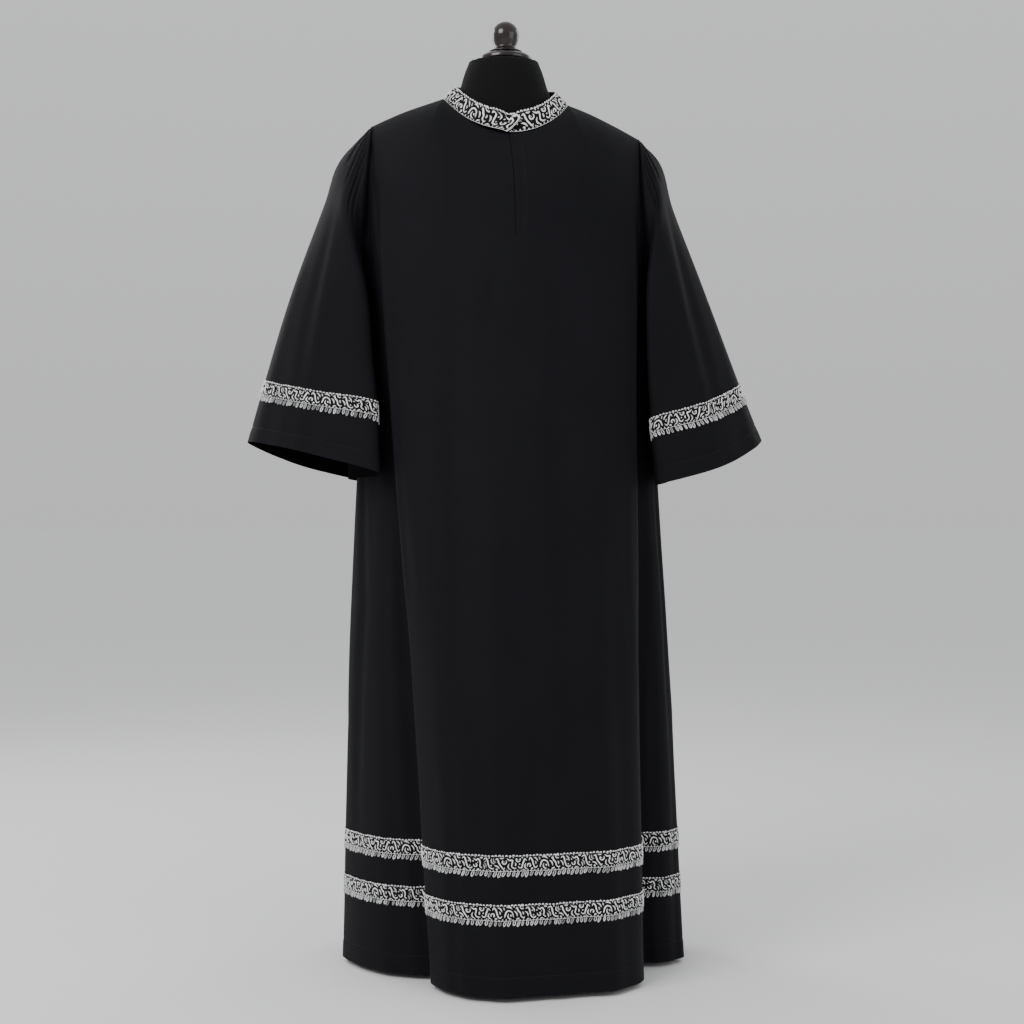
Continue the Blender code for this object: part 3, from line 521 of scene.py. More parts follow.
@dataclass(frozen=True)
class NeckOval:
    """Closed curve round the neck that dips in front and rises behind."""

    half_width: float
    front: float
    back: float
    height: float
    drop: float
    power: float
    back_rise: float
    swing: float = 0.006

    def at(self, turn: Array) -> Array:
        """Points of the curve at angles from centre front.

        Before the neck a point is (w sin a + s cos a, -f cos a, h - d cos(a)^p). Behind it, the
        back's depth and rise take the place of the front's and the drop.

        Args:
            turn: angles from centre front.

        Returns:
            One point an angle.
        """
        front, back = np.maximum(np.cos(turn), 0), np.maximum(-np.cos(turn), 0)
        x = self.half_width * np.sin(turn) + self.swing * np.cos(turn)
        y = self.back * back - self.front * front
        z = self.height - self.drop * front**self.power + self.back_rise * back
        return np.stack([x, y, z], axis=-1)


@dataclass(frozen=True)
class Pattern:
    """Sizes that the garment's pieces share, as it hangs, with the columns of its panels."""

    hem: float = 0.008
    levels: tuple[float, ...] = (0.008, 0.55, 0.95, 1.22)
    band_top: float = 0.224
    underarm: float = 1.135
    shoulder_tip: Triple = (0.222, 0.0, 1.381)
    armhole_depths: Pair = (0.072, 0.076)
    underarm_side: float = 0.234
    underarm_setback: float = 0.010
    shoulder_crown: float = 0.003
    neckline: NeckOval = NeckOval(0.1035, 0.092, 0.078, 1.432, 0.069, 1.6, 0.008)
    collar_edge: NeckOval = NeckOval(0.0825, 0.080, 0.068, 1.455, 0.054, 1.5, 0.016)
    lean: float = 0.05
    lean_start: float = 1.0
    lean_rise: float = 0.25
    lean_end: float = 1.50
    lean_fall: float = 0.03
    arm_columns: float = 8.0
    neck_start: float = 12.0
    last_column: float = 39.0
    slit: Pair = (19.0, 20.0)
    slit_foot: float = 1.187
    slit_half_width: float = 0.0004

    def leaned(self, points: Array) -> Array:
        """The shoulders and collar sink a little towards the wearer's left.

        Args:
            points: points of the upper garment.

        Returns:
            The moved points.
        """
        moved = points.copy()
        height = points[..., 2]
        rise = smooth((height - self.lean_start) / self.lean_rise)
        rise = rise * np.clip((self.lean_end - height) / self.lean_fall, 0, 1)
        moved[..., 2] -= self.lean * points[..., 0] * rise
        return moved

    def armhole(self, side: float, turn: Array) -> Array:
        """Armhole at parts of a turn: an upright oval, 0 at the shoulder, a quarter in front.

        Args:
            side: sign of the side's x.
            turn: parts of a turn.

        Returns:
            One point a part.
        """
        angle = TURN * np.asarray(turn, float)
        top = self.shoulder_tip[2]
        centre = (top + self.underarm) / 2
        depth = np.where(np.sin(angle) > 0, *self.armhole_depths)
        high = (1 + np.cos(angle)) / 2
        x = side * (self.underarm_side + (self.shoulder_tip[0] - self.underarm_side) * high)
        y = self.underarm_setback * (1 - high) - depth * np.sin(angle)
        return np.stack([x, y, centre + (top - centre) * np.cos(angle)], axis=-1)

    def seam(self, face: Face, columns: Array) -> Array:
        """Top seam of a panel: armhole, shoulder, neckline, shoulder and armhole.

        Args:
            face: which panel.
            columns: rising column places.

        Returns:
            One point a column.
        """
        mirrored = columns > self.last_column / 2
        near = np.where(mirrored, self.last_column - columns, columns)
        side = np.where(mirrored, 1.0, -1.0)
        forward = 1.0 if face is Face.FRONT else -1.0
        arm = self.armhole(1.0, forward * (1 - near / self.arm_columns) / 2)
        arm[:, 0] *= side
        part = ((near - self.arm_columns) / (self.neck_start - self.arm_columns))[:, None]
        tip = np.array(self.shoulder_tip) * np.stack([side, side * 0 + 1, side * 0 + 1], 1)
        neck_end = self.neckline.at(side * math.pi / 2)
        shoulder = tip + (neck_end - tip) * part
        shoulder[:, 2] += self.shoulder_crown * np.sin(math.pi * part[:, 0])
        if face is Face.FRONT:
            half = self.slit[0] - self.neck_start
            ends = (self.neck_start, *self.slit, self.last_column - self.neck_start)
            steps = np.interp(columns, ends, (0, half, half, 2 * half)) / half
            neck = self.neckline.at((steps - 1) * math.pi / 2)
            neck[:, 0] += self.slit_sign(columns) * self.slit_half_width
        else:
            steps = (columns - self.neck_start) / (self.last_column / 2 - self.neck_start)
            neck = self.neckline.at(math.pi - (steps - 1) * math.pi / 2)
        over = near[:, None]
        return np.where(over < self.arm_columns, arm,
                        np.where(over < self.neck_start, shoulder, neck))

    def slit_sign(self, columns: Array) -> Array:
        """-1 on the slit's right edge, 1 on its left edge, and fading to 0 a column away.

        Args:
            columns: column places.

        Returns:
            One sign a column.
        """
        low, high = self.slit
        left = np.clip(1 - (columns - high), 0, 1) * (columns >= high)
        right = np.clip(1 - (low - columns), 0, 1) * (columns <= low)
        return left - right


PATTERN = Pattern()

FRONT_FOLDS = (
    # name, column, then x and y at the hem, thigh, waist and chest
    ("seam_right", 0.0, -0.262, 0.050, -0.252, 0.040, -0.238, 0.028, -0.232, 0.012),
    ("side_right", 2.0, -0.271, 0.000, -0.259, -0.006, -0.240, -0.012, -0.232, -0.020),
    ("flat_right", 4.5, -0.200, -0.090, -0.205, -0.076, -0.208, -0.062, -0.221, -0.050),
    ("valley_right", 7.0, -0.103, -0.120, -0.141, -0.102, -0.174, -0.086, -0.214, -0.070),
    ("edge_right", 8.8, -0.117, -0.156, -0.152, -0.134, -0.183, -0.112, -0.203, -0.088),
    ("lobe_right", 11.0, -0.086, -0.208, -0.116, -0.180, -0.146, -0.146, -0.166, -0.113),
    ("front_right", 15.0, -0.020, -0.238, -0.045, -0.203, -0.062, -0.163, -0.078, -0.135),
    ("centre", 19.5, 0.045, -0.234, 0.030, -0.206, 0.022, -0.168, 0.016, -0.143),
    ("front_left", 24.0, 0.115, -0.214, 0.104, -0.193, 0.104, -0.161, 0.102, -0.133),
    ("lobe_left", 28.0, 0.186, -0.186, 0.172, -0.165, 0.170, -0.140, 0.172, -0.110),
    ("edge_left", 30.2, 0.2205, -0.135, 0.212, -0.122, 0.208, -0.106, 0.209, -0.084),
    ("valley_left", 32.0, 0.214, -0.052, 0.208, -0.056, 0.212, -0.060, 0.220, -0.066),
    ("flat_left", 34.5, 0.268, -0.032, 0.250, -0.036, 0.229, -0.040, 0.223, -0.050),
    ("side_left", 37.0, 0.298, 0.002, 0.270, -0.002, 0.246, -0.006, 0.233, -0.020),
    ("seam_left", 39.0, 0.290, 0.048, 0.261, 0.038, 0.242, 0.026, 0.232, 0.012),
)
BACK_FOLDS = (
    FRONT_FOLDS[0],
    ("flank_right", 3.0, -0.256, 0.108, -0.244, 0.090, -0.229, 0.070, -0.223, 0.045),
    ("fold_1", 6.0, -0.220, 0.158, -0.208, 0.130, -0.196, 0.102, -0.204, 0.076),
    ("dip_1", 9.0, -0.174, 0.160, -0.167, 0.136, -0.160, 0.112, -0.172, 0.098),
    ("fold_2", 12.0, -0.122, 0.206, -0.117, 0.172, -0.112, 0.136, -0.122, 0.116),
    ("dip_2", 15.5, -0.060, 0.186, -0.056, 0.161, -0.055, 0.134, -0.062, 0.125),
    ("fold_3", 19.5, 0.006, 0.218, 0.004, 0.184, 0.002, 0.147, 0.000, 0.129),
    ("dip_3", 23.0, 0.070, 0.184, 0.064, 0.160, 0.058, 0.133, 0.060, 0.125),
    ("fold_4", 27.0, 0.134, 0.208, 0.126, 0.173, 0.116, 0.136, 0.122, 0.116),
    ("dip_4", 30.0, 0.190, 0.157, 0.176, 0.134, 0.163, 0.112, 0.172, 0.098),
    ("fold_5", 33.0, 0.240, 0.152, 0.218, 0.126, 0.202, 0.101, 0.205, 0.076),
    ("flank_left", 36.0, 0.284, 0.106, 0.258, 0.088, 0.235, 0.069, 0.223, 0.045),
    FRONT_FOLDS[-1],
)

# Creases of the panels: a path of columns and heights, the half width, the height, and the share
# of the length in which it fades. The first four are the edges of the front lobe
FRONT_CREASES = (
    ((7.7, 1.3, 7.4, 1.18, 7.2, 0.95, 7.1, 0.5), 0.013, -0.0075, 0.14),
    ((9.1, 1.33, 8.9, 1.15, 8.8, 0.85, 8.8, 0.5), 0.01, 0.0032, 0.2),
    ((31.5, 1.29, 31.8, 1.16, 32.0, 0.95, 32.1, 0.5), 0.012, -0.007, 0.14),
    ((30.0, 1.31, 30.3, 1.13, 30.3, 0.85, 30.3, 0.5), 0.01, 0.003, 0.2),
    ((14.2, 1.08, 13.6, 0.7, 13.0, 0.28), 0.022, -0.0026),
    ((17.0, 0.92, 16.7, 0.5, 16.2, 0.0), 0.028, 0.003),
    ((22.6, 1.12, 23.3, 0.62, 23.4, 0.15), 0.024, -0.003),
    ((26.2, 0.98, 26.6, 0.5, 27.0, 0.0), 0.026, 0.003),
    ((11.9, 0.52, 12.2, 0.25, 11.7, 0.0), 0.016, -0.003),
    ((20.9, 0.5, 20.4, 0.22, 20.8, 0.0), 0.019, -0.0034),
    ((29.2, 1.02, 29.0, 0.72, 29.4, 0.42), 0.014, -0.0016),
    ((10.2, 1.3, 11.2, 1.24, 12.8, 1.16), 0.014, -0.0015),
    ((10.0, 1.05, 9.9, 0.8, 10.3, 0.55), 0.012, 0.0014),
    ((28.6, 1.31, 27.6, 1.25, 26.0, 1.16), 0.015, -0.0015),
    ((18.6, 1.17, 17.4, 1.1, 16.9, 1.0), 0.013, -0.0011),
    ((21.2, 1.17, 22.0, 1.08, 22.2, 0.98), 0.014, 0.001),
    ((13.3, 1.37, 14.0, 1.3, 14.2, 1.2), 0.016, 0.0012),
    ((25.6, 1.36, 25.0, 1.29, 24.9, 1.21), 0.016, 0.0012),
    ((3.0, 1.02, 3.4, 0.6, 3.2, 0.1), 0.014, -0.0036),
    ((5.6, 0.86, 5.4, 0.45, 5.8, 0.0), 0.015, 0.0034),
    ((1.3, 0.8, 1.5, 0.4, 1.2, 0.0), 0.013, -0.003),
    ((35.5, 0.95, 35.9, 0.5, 35.6, 0.0), 0.014, -0.0034),
    ((37.8, 0.78, 37.5, 0.42, 37.9, 0.05), 0.013, 0.003),
    ((33.4, 0.6, 33.2, 0.3, 33.5, 0.0), 0.012, 0.0026),
)
BACK_CREASES = (
    ((17.6, 1.3, 17.2, 1.0, 17.8, 0.55), 0.018, -0.0028),
    ((21.6, 1.28, 21.9, 0.92, 21.3, 0.4), 0.02, -0.003),
    ((13.7, 1.16, 14.0, 0.7, 13.4, 0.2), 0.015, -0.0032),
    ((25.2, 1.12, 24.8, 0.66, 25.4, 0.1), 0.016, -0.003),
    ((10.4, 1.24, 10.6, 0.95, 10.2, 0.62), 0.014, 0.0024),
    ((28.8, 1.2, 28.5, 0.9, 28.9, 0.5), 0.014, 0.0026),
    ((19.9, 0.7, 20.3, 0.35, 19.6, 0.0), 0.014, -0.0034),
    ((7.2, 0.82, 7.5, 0.45, 7.1, 0.0), 0.014, 0.003),
    ((31.6, 0.9, 31.4, 0.5, 31.9, 0.0), 0.015, 0.0032),
    ((4.5, 1.0, 4.3, 0.6, 4.6, 0.12), 0.015, -0.003),
    ((34.6, 1.02, 34.9, 0.62, 34.5, 0.06), 0.014, -0.0032),
    ((1.6, 0.7, 1.4, 0.35, 1.7, 0.0), 0.013, 0.0028),
    ((37.4, 0.76, 37.6, 0.36, 37.3, 0.0), 0.014, 0.0028),
    ((11.2, 1.36, 13.0, 1.31, 15.0, 1.27), 0.013, -0.0014),
    ((27.8, 1.36, 26.2, 1.31, 24.2, 1.28), 0.013, -0.0014),
    ((16.0, 1.41, 16.6, 1.36, 16.9, 1.28), 0.012, 0.0013),
    ((23.2, 1.41, 22.6, 1.36, 22.4, 1.29), 0.012, 0.0013),
)

# Sleeve rings from the head to the cuff: place along the sleeve, the outer fold's x and z, the
# depth of the front, the front corner's x, y and z, the inner side's x and z, the rear corner's x,
# y and z, and how far the front and the back sag between their two ends
SLEEVE_RINGS = {
    Side.RIGHT: (
        (0.12, 0.272, 1.341, 0.077, 0.231, 0.062, 1.152, 0.243, 1.118, 0.242, 0.064, 1.152, 0.0, 0.0),
        (0.30, 0.302, 1.262, 0.084, 0.221, 0.082, 1.090, 0.254, 1.068, 0.247, 0.076, 1.090, 0.0, 0.0),
        (0.55, 0.360, 1.104, 0.092, 0.214, 0.096, 1.005, 0.258, 0.990, 0.247, 0.082, 1.000, 0.002, 0.0),
        (0.80, 0.401, 0.968, 0.097, 0.206, 0.110, 0.928, 0.259, 0.908, 0.247, 0.085, 0.904, 0.002, 0.003),
        (1.00, 0.430, 0.866, 0.100, 0.200, 0.117, 0.812, 0.262, 0.806, 0.249, 0.086, 0.804, -0.005, 0.009),
    ),
    Side.LEFT: (
        (0.10, 0.254, 1.338, 0.077, 0.231, 0.062, 1.152, 0.243, 1.118, 0.242, 0.064, 1.152, 0.0, 0.0),
        (0.30, 0.280, 1.254, 0.084, 0.2285, 0.082, 1.090, 0.256, 1.066, 0.248, 0.076, 1.090, 0.0, 0.0),
        (0.55, 0.338, 1.102, 0.090, 0.2295, 0.092, 0.998, 0.262, 0.984, 0.251, 0.082, 0.996, 0.003, 0.0),
        (0.80, 0.390, 0.964, 0.094, 0.236, 0.096, 0.902, 0.262, 0.888, 0.252, 0.085, 0.892, 0.008, 0.0),
        (1.00, 0.428, 0.870, 0.096, 0.2455, 0.097, 0.794, 0.269, 0.799, 0.259, 0.086, 0.799, 0.013, 0.0),
    ),
}

# Gathers and folds of the sleeves in the same way, their paths by part of a turn (front is
# positive) and part of the sleeve's length
SLEEVE_CREASES = {
    Side.RIGHT: (
        ((-0.004, 0.0, 0.006, 0.04, 0.02, 0.1), 0.004, -0.002),
        ((0.026, 0.0, 0.058, 0.04, 0.096, 0.11), 0.0044, -0.0028),
        ((0.058, 0.0, 0.112, 0.05, 0.168, 0.14), 0.0046, -0.0034),
        ((0.092, 0.0, 0.156, 0.05, 0.216, 0.13), 0.0044, -0.003),
        ((0.126, 0.0, 0.2, 0.06, 0.268, 0.18), 0.0048, -0.0034),
        ((0.166, 0.0, 0.236, 0.05, 0.292, 0.13), 0.0044, -0.0026),
        ((-0.036, 0.0, -0.064, 0.05, -0.092, 0.12), 0.0046, -0.0028),
        ((-0.07, 0.0, -0.118, 0.05, -0.168, 0.15), 0.0048, -0.0032),
        ((-0.104, 0.0, -0.16, 0.04, -0.206, 0.1), 0.0044, -0.0028),
        ((-0.14, 0.0, -0.206, 0.06, -0.262, 0.17), 0.0048, -0.003),
        ((0.12, 0.22, 0.15, 0.5, 0.165, 0.8), 0.02, -0.0026),
        ((0.045, 0.34, 0.06, 0.62, 0.064, 1.0), 0.024, 0.003),
        ((0.2, 0.35, 0.215, 0.65, 0.205, 1.0), 0.018, 0.0026),
        ((-0.11, 0.25, -0.14, 0.6, -0.15, 1.0), 0.022, -0.0038),
        ((-0.05, 0.32, -0.055, 0.62, -0.062, 0.95), 0.018, 0.003),
        ((-0.21, 0.28, -0.22, 0.6, -0.215, 0.96), 0.016, 0.003),
    ),
    Side.LEFT: (
        ((0.004, 0.0, 0.02, 0.05, 0.04, 0.12), 0.0044, -0.0024),
        ((0.04, 0.0, 0.082, 0.05, 0.13, 0.13), 0.0046, -0.0032),
        ((0.074, 0.0, 0.126, 0.04, 0.176, 0.1), 0.0042, -0.0028),
        ((0.108, 0.0, 0.178, 0.06, 0.246, 0.18), 0.0048, -0.0034),
        ((0.148, 0.0, 0.216, 0.05, 0.276, 0.14), 0.0044, -0.0028),
        ((-0.028, 0.0, -0.052, 0.04, -0.076, 0.1), 0.0044, -0.0026),
        ((-0.062, 0.0, -0.108, 0.05, -0.156, 0.15), 0.0048, -0.0034),
        ((-0.098, 0.0, -0.156, 0.05, -0.21, 0.12), 0.0046, -0.003),
        ((-0.136, 0.0, -0.2, 0.05, -0.252, 0.14), 0.0046, -0.0028),
        ((0.09, 0.16, 0.135, 0.48, 0.172, 0.94), 0.021, -0.004),
        ((0.03, 0.3, 0.05, 0.6, 0.07, 1.0), 0.022, 0.0028),
        ((0.195, 0.36, 0.222, 0.66, 0.23, 1.0), 0.018, 0.0026),
        ((-0.1, 0.24, -0.132, 0.58, -0.146, 1.0), 0.021, -0.0036),
        ((-0.046, 0.34, -0.05, 0.6, -0.058, 0.92), 0.018, 0.0028),
        ((-0.205, 0.3, -0.214, 0.62, -0.222, 1.0), 0.017, 0.003),
    ),
}


# Finishes


class Tree:
    """A node tree that is filled and linked by short calls."""

    def __init__(self, tree: bpy.types.NodeTree) -> None:
        """Start with an empty tree."""
        self.tree = tree
        tree.nodes.clear()

    def add(self, kind: str, inputs: dict | None = None, **settings: object) -> bpy.types.Node:
        """Add a node, set its properties, and set or link its inputs by name or number.

        Args:
            kind: the node's type.
            inputs: value or socket for each input.
            settings: the node's properties.

        Returns:
            The node.
        """
        node = self.tree.nodes.new(kind)
        for key, value in settings.items():
            setattr(node, key, value)
        for key, value in (inputs or {}).items():
            if isinstance(value, Socket):
                self.tree.links.new(value, node.inputs[key])
            else:
                node.inputs[key].default_value = value
        return node

    def math(self, operation: str, *values: object) -> Socket:
        """Result of a math node on sockets or numbers."""
        node = self.add("ShaderNodeMath", dict(enumerate(values)), operation=operation)
        return node.outputs[0]

    def mix(self, part: object, one: object, two: object) -> Socket:
        """Colour between two colours."""
        node = self.add("ShaderNodeMix", {"Factor": part, 6: one, 7: two}, data_type="RGBA")
        return node.outputs[2]

    def noise(self, place: object, scale: float, detail: float = 3.0) -> Socket:
        """Noise value from 0 to 1."""
        node = self.add("ShaderNodeTexNoise", {"Vector": place, "Scale": scale, "Detail": detail})
        return node.outputs["Fac"]

    def surface(self, inputs: dict) -> None:
        """Shader with these inputs, led to the material's output."""
        shader = self.add("ShaderNodeBsdfPrincipled", inputs)
        self.add("ShaderNodeOutputMaterial", {"Surface": shader.outputs[0]})


def new_material(name: str) -> tuple[Material, Tree]:
    """Material that has no nodes yet, and its node tree.

    Args:
        name: the material's name.

    Returns:
        The material and its tree.
    """
    made = bpy.data.materials.new(name)
    made.use_nodes = True
    return made, Tree(made.node_tree)


def new_group(name: str, inputs: dict[str, float], outputs: tuple[str, ...]) -> Tree:
    """Empty shader node group with named number inputs and outputs.

    Args:
        name: the group's name.
        inputs: its inputs and their usual values.
        outputs: its outputs.

    Returns:
        The group's tree, to be filled.
    """
    tree = bpy.data.node_groups.new(name, "ShaderNodeTree")
    filled = Tree(tree)
    for key, value in inputs.items():
        socket = tree.interface.new_socket(key, in_out="INPUT", socket_type="NodeSocketFloat")
        socket.default_value = value
    for key in outputs:
        tree.interface.new_socket(key, in_out="OUTPUT", socket_type="NodeSocketFloat")
    return filled


@cache
def weave_group() -> bpy.types.NodeTree:
    """Plain weave on the flat cloth's own coordinates.

    The height is sin(x) sin(y) at the thread's pitch, blurred by slubs, and the shade is two soft
    noises, so the cloth is a little uneven in colour.

    Returns:
        The group.
    """
    made = new_group("plain_weave", {"Threads": 2200.0, "Slub": 0.35}, ("Height", "Shade"))
    given = made.add("NodeGroupInput")
    flat = made.add("ShaderNodeUVMap", uv_map="flat").outputs[0]
    split = made.add("ShaderNodeSeparateXYZ", {0: flat})
    slub = made.noise(flat, 90.0, 2.0)
    waves = []
    for axis in (0, 1):
        run = made.math("MULTIPLY", split.outputs[axis], given.outputs["Threads"])
        run = made.math("ADD", made.math("MULTIPLY", run, TURN), made.math("MULTIPLY", slub, 5.0))
        waves.append(made.math("SINE", run))
    grid = made.math("MULTIPLY", waves[0], waves[1])
    fine = made.math("MULTIPLY", made.noise(flat, 900.0, 2.0), given.outputs["Slub"])
    height = made.math("ADD", made.math("MULTIPLY", grid, 0.5), fine)
    wide = made.noise(flat, 7.0, 4.0)
    close = made.noise(flat, 170.0, 3.0)
    shade = made.math("ADD", made.math("MULTIPLY", wide, 0.6), made.math("MULTIPLY", close, 0.4))
    made.add("NodeGroupOutput", {"Height": height, "Shade": shade})
    return made.tree


@dataclass(frozen=True)
class ClothFinish:
    """Woven or knitted cloth: two near colours, how matte it is, its nap and its threads."""

    name: str
    dark: Triple
    light: Triple
    roughness: float
    sheen: float
    threads: float
    relief: float = 0.00012
    # shade is a painted shade colour: the inner side of the cloth is darkened towards it
    shade: Colour = (0.0008, 0.0008, 0.0009, 1)
    nap_tint: Colour = (0.62, 0.64, 0.70, 1)

    def material(self) -> Material:
        """The finish as a material that uses the shared weave; its inner side is darkened by a painted
        shade, and has less gloss and sheen as a matte wrong side.

        Returns:
            The material.
        """
        made, tree = new_material(self.name)
        cloth = tree.add("ShaderNodeGroup", node_tree=weave_group())
        cloth.inputs["Threads"].default_value = self.threads
        colour = tree.mix(cloth.outputs["Shade"], (*self.dark, 1), (*self.light, 1))
        inside_shade_and_matte = tree.add("ShaderNodeAttribute", attribute_name="tone").outputs["Fac"]
        # Painted shade: the inner side of the cloth, marked by tone 1, is mixed towards the shade colour;
        # its gloss and sheen drop as a matte wrong side
        colour = tree.mix(tree.math("MULTIPLY", inside_shade_and_matte, 0.6), colour, self.shade)
        gloss = tree.math("SUBTRACT", 0.10, tree.math("MULTIPLY", inside_shade_and_matte, 0.085))
        nap = tree.math("SUBTRACT", self.sheen, tree.math("MULTIPLY", inside_shade_and_matte, self.sheen))
        bump = tree.add("ShaderNodeBump", {"Strength": 0.6, "Distance": self.relief,
                                           "Height": cloth.outputs["Height"]})
        tree.surface({
            "Base Color": colour, "Roughness": self.roughness, "Normal": bump.outputs[0],
            "Sheen Weight": nap, "Sheen Roughness": 0.45,
            "Sheen Tint": self.nap_tint, "Specular IOR Level": gloss})
        return made


@dataclass(frozen=True)
class ThreadFinish:
    """Silver embroidery thread: dull, silver and bright by each stitch's tone."""

    name: str
    dull: Triple
    silver: Triple
    bright: Triple
    blush: Triple
    roughness: float
    metallic: float
    threads: float = 1500.0
    # groove is a painted shade colour, mixed into the troughs between the thread's ridges
    groove: Colour = (0.16, 0.16, 0.17, 1)

    def material(self) -> Material:
        """The finish as a material; fine ridges run across each line of satin stitch, and a painted shade
        darkens the troughs between them.

        Returns:
            The material.
        """
        made, tree = new_material(self.name)
        tone = tree.add("ShaderNodeAttribute", attribute_name="tone").outputs["Fac"]
        flat = tree.add("ShaderNodeUVMap", uv_map="flat").outputs[0]
        place = tree.add("ShaderNodeTexCoord").outputs["Object"]
        run = tree.add("ShaderNodeSeparateXYZ", {0: flat}).outputs[0]
        ridge = tree.math("SINE", tree.math("MULTIPLY", run, self.threads * TURN))
        grain = tree.noise(place, 1400.0, 2.0)
        low = tree.mix(tree.math("MULTIPLY", tone, 2.0), (*self.dull, 1), (*self.silver, 1))
        high = tree.math("SUBTRACT", tree.math("MULTIPLY", tone, 2.0), 1.0)
        colour = tree.mix(tree.math("MAXIMUM", high, 0.0), low, (*self.bright, 1))
        warm = tree.math("MULTIPLY", tree.math("GREATER_THAN", tree.noise(place, 75.0), 0.66), 0.5)
        colour = tree.mix(warm, colour, (*self.blush, 1))
        # Painted shade: the troughs of the ridges are mixed a little towards the groove colour
        dim = tree.math("ADD", tree.math("MULTIPLY", ridge, 0.06), 0.94)
        colour = tree.mix(dim, self.groove, colour)
        height = tree.math("ADD", ridge, grain)
        bump = tree.add("ShaderNodeBump", {"Strength": 0.7, "Distance": 0.00012, "Height": height})
        rough = tree.math("ADD", tree.math("MULTIPLY", grain, 0.25), self.roughness - 0.12)
        tree.surface({
            "Base Color": colour, "Roughness": rough, "Metallic": self.metallic,
            "Normal": bump.outputs[0], "Specular IOR Level": 0.5})
        return made


@dataclass(frozen=True)
class HardFinish:
    """Varnished wood or painted metal: two colours in streaks, gloss and a clear coat."""

    name: str
    dark: Triple
    light: Triple
    roughness: float
    metallic: float
    coat: float
    streaks: Triple
    relief: float

    def material(self) -> Material:
        """The finish as a material; its streaks run in the piece's own directions.

        Returns:
            The material.
        """
        made, tree = new_material(self.name)
        place = tree.add("ShaderNodeTexCoord").outputs["Object"]
        scaled = tree.add("ShaderNodeMapping", {"Vector": place, "Scale": self.streaks})
        grain = tree.noise(scaled.outputs[0], 1.0, 5.0)
        cloud = tree.noise(place, 22.0, 3.0)
        part = tree.add("ShaderNodeMapRange", {0: grain, 1: 0.34, 2: 0.68}).outputs[0]
        colour = tree.mix(part, (*self.dark, 1), (*self.light, 1))
        rough = tree.math("ADD", tree.math("MULTIPLY", cloud, 0.14), self.roughness - 0.07)
        bump = tree.add("ShaderNodeBump", {"Strength": 0.4, "Distance": self.relief,
                                           "Height": grain})
        tree.surface({
            "Base Color": colour, "Roughness": rough, "Metallic": self.metallic,
            "Normal": bump.outputs[0], "Coat Weight": self.coat, "Coat Roughness": 0.12})
        return made


class Finish(Enum):
    """Every finish of the object."""

    CLOTH = ClothFinish("black_plain_weave", (0.0026, 0.0025, 0.0038), (0.0064, 0.0063, 0.0088),
                        0.70, 0.015, 2200.0)
    GROUND = ClothFinish("galloon_ground", (0.0028, 0.0028, 0.0030), (0.0080, 0.0080, 0.0086),
                         0.80, 0.02, 1500.0)
    JERSEY = ClothFinish("form_jersey", (0.0030, 0.0030, 0.0032), (0.0060, 0.0060, 0.0064),
                         0.85, 0.06, 1200.0)
    THREAD = ClothFinish("black_thread", (0.014, 0.014, 0.016), (0.026, 0.026, 0.030),
                         0.45, 0.05, 3000.0)
    SILVER = ThreadFinish("silver_galloon", (0.22, 0.22, 0.23), (0.90, 0.90, 0.90),
                          (1.0, 1.0, 1.0), (0.78, 0.62, 0.61), 0.30, 0.10)
    WOOD = HardFinish("dark_turned_wood", (0.003, 0.0015, 0.0015), (0.016, 0.0030, 0.0026),
                      0.20, 0.0, 0.2, (30.0, 30.0, 9.0), 0.00008)
    METAL = HardFinish("dark_satin_metal", (0.028, 0.027, 0.028), (0.050, 0.048, 0.050),
                       0.38, 0.6, 0.2, (60.0, 60.0, 60.0), 0.00005)


@cache
def material_of(finish: Finish) -> Material:
    """The finish's material, made when it is first asked for."""
    return finish.value.material()


def dress(piece: Thing, finish: Finish, slot: str, *nodes: str) -> Thing:
    """Give a piece its finish, let it ride, and let it stand for its solids.

    Args:
        piece: the finished piece.
        finish: its finish.
        slot: its slot's name; not used.
        nodes: the solids that it stands for.

    Returns:
        The piece.
    """
    piece.data.materials.append(material_of(finish))
    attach(piece, "root")
    if nodes:
        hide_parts(*nodes)
    LOG.info("%s: %d faces", piece.name, len(piece.data.polygons))
    return piece


def declare(piece: Thing, skin: Skin) -> None:
    """Say what cloth a piece was cut from: its flat width, length and area.

    Args:
        piece: the cloth.
        skin: its outer side.
    """
    wide, long, area = skin.size()
    LOG.info("%s cut %.3f x %.3f m, %.4f m2", piece.name, wide, long, area)


# Panels


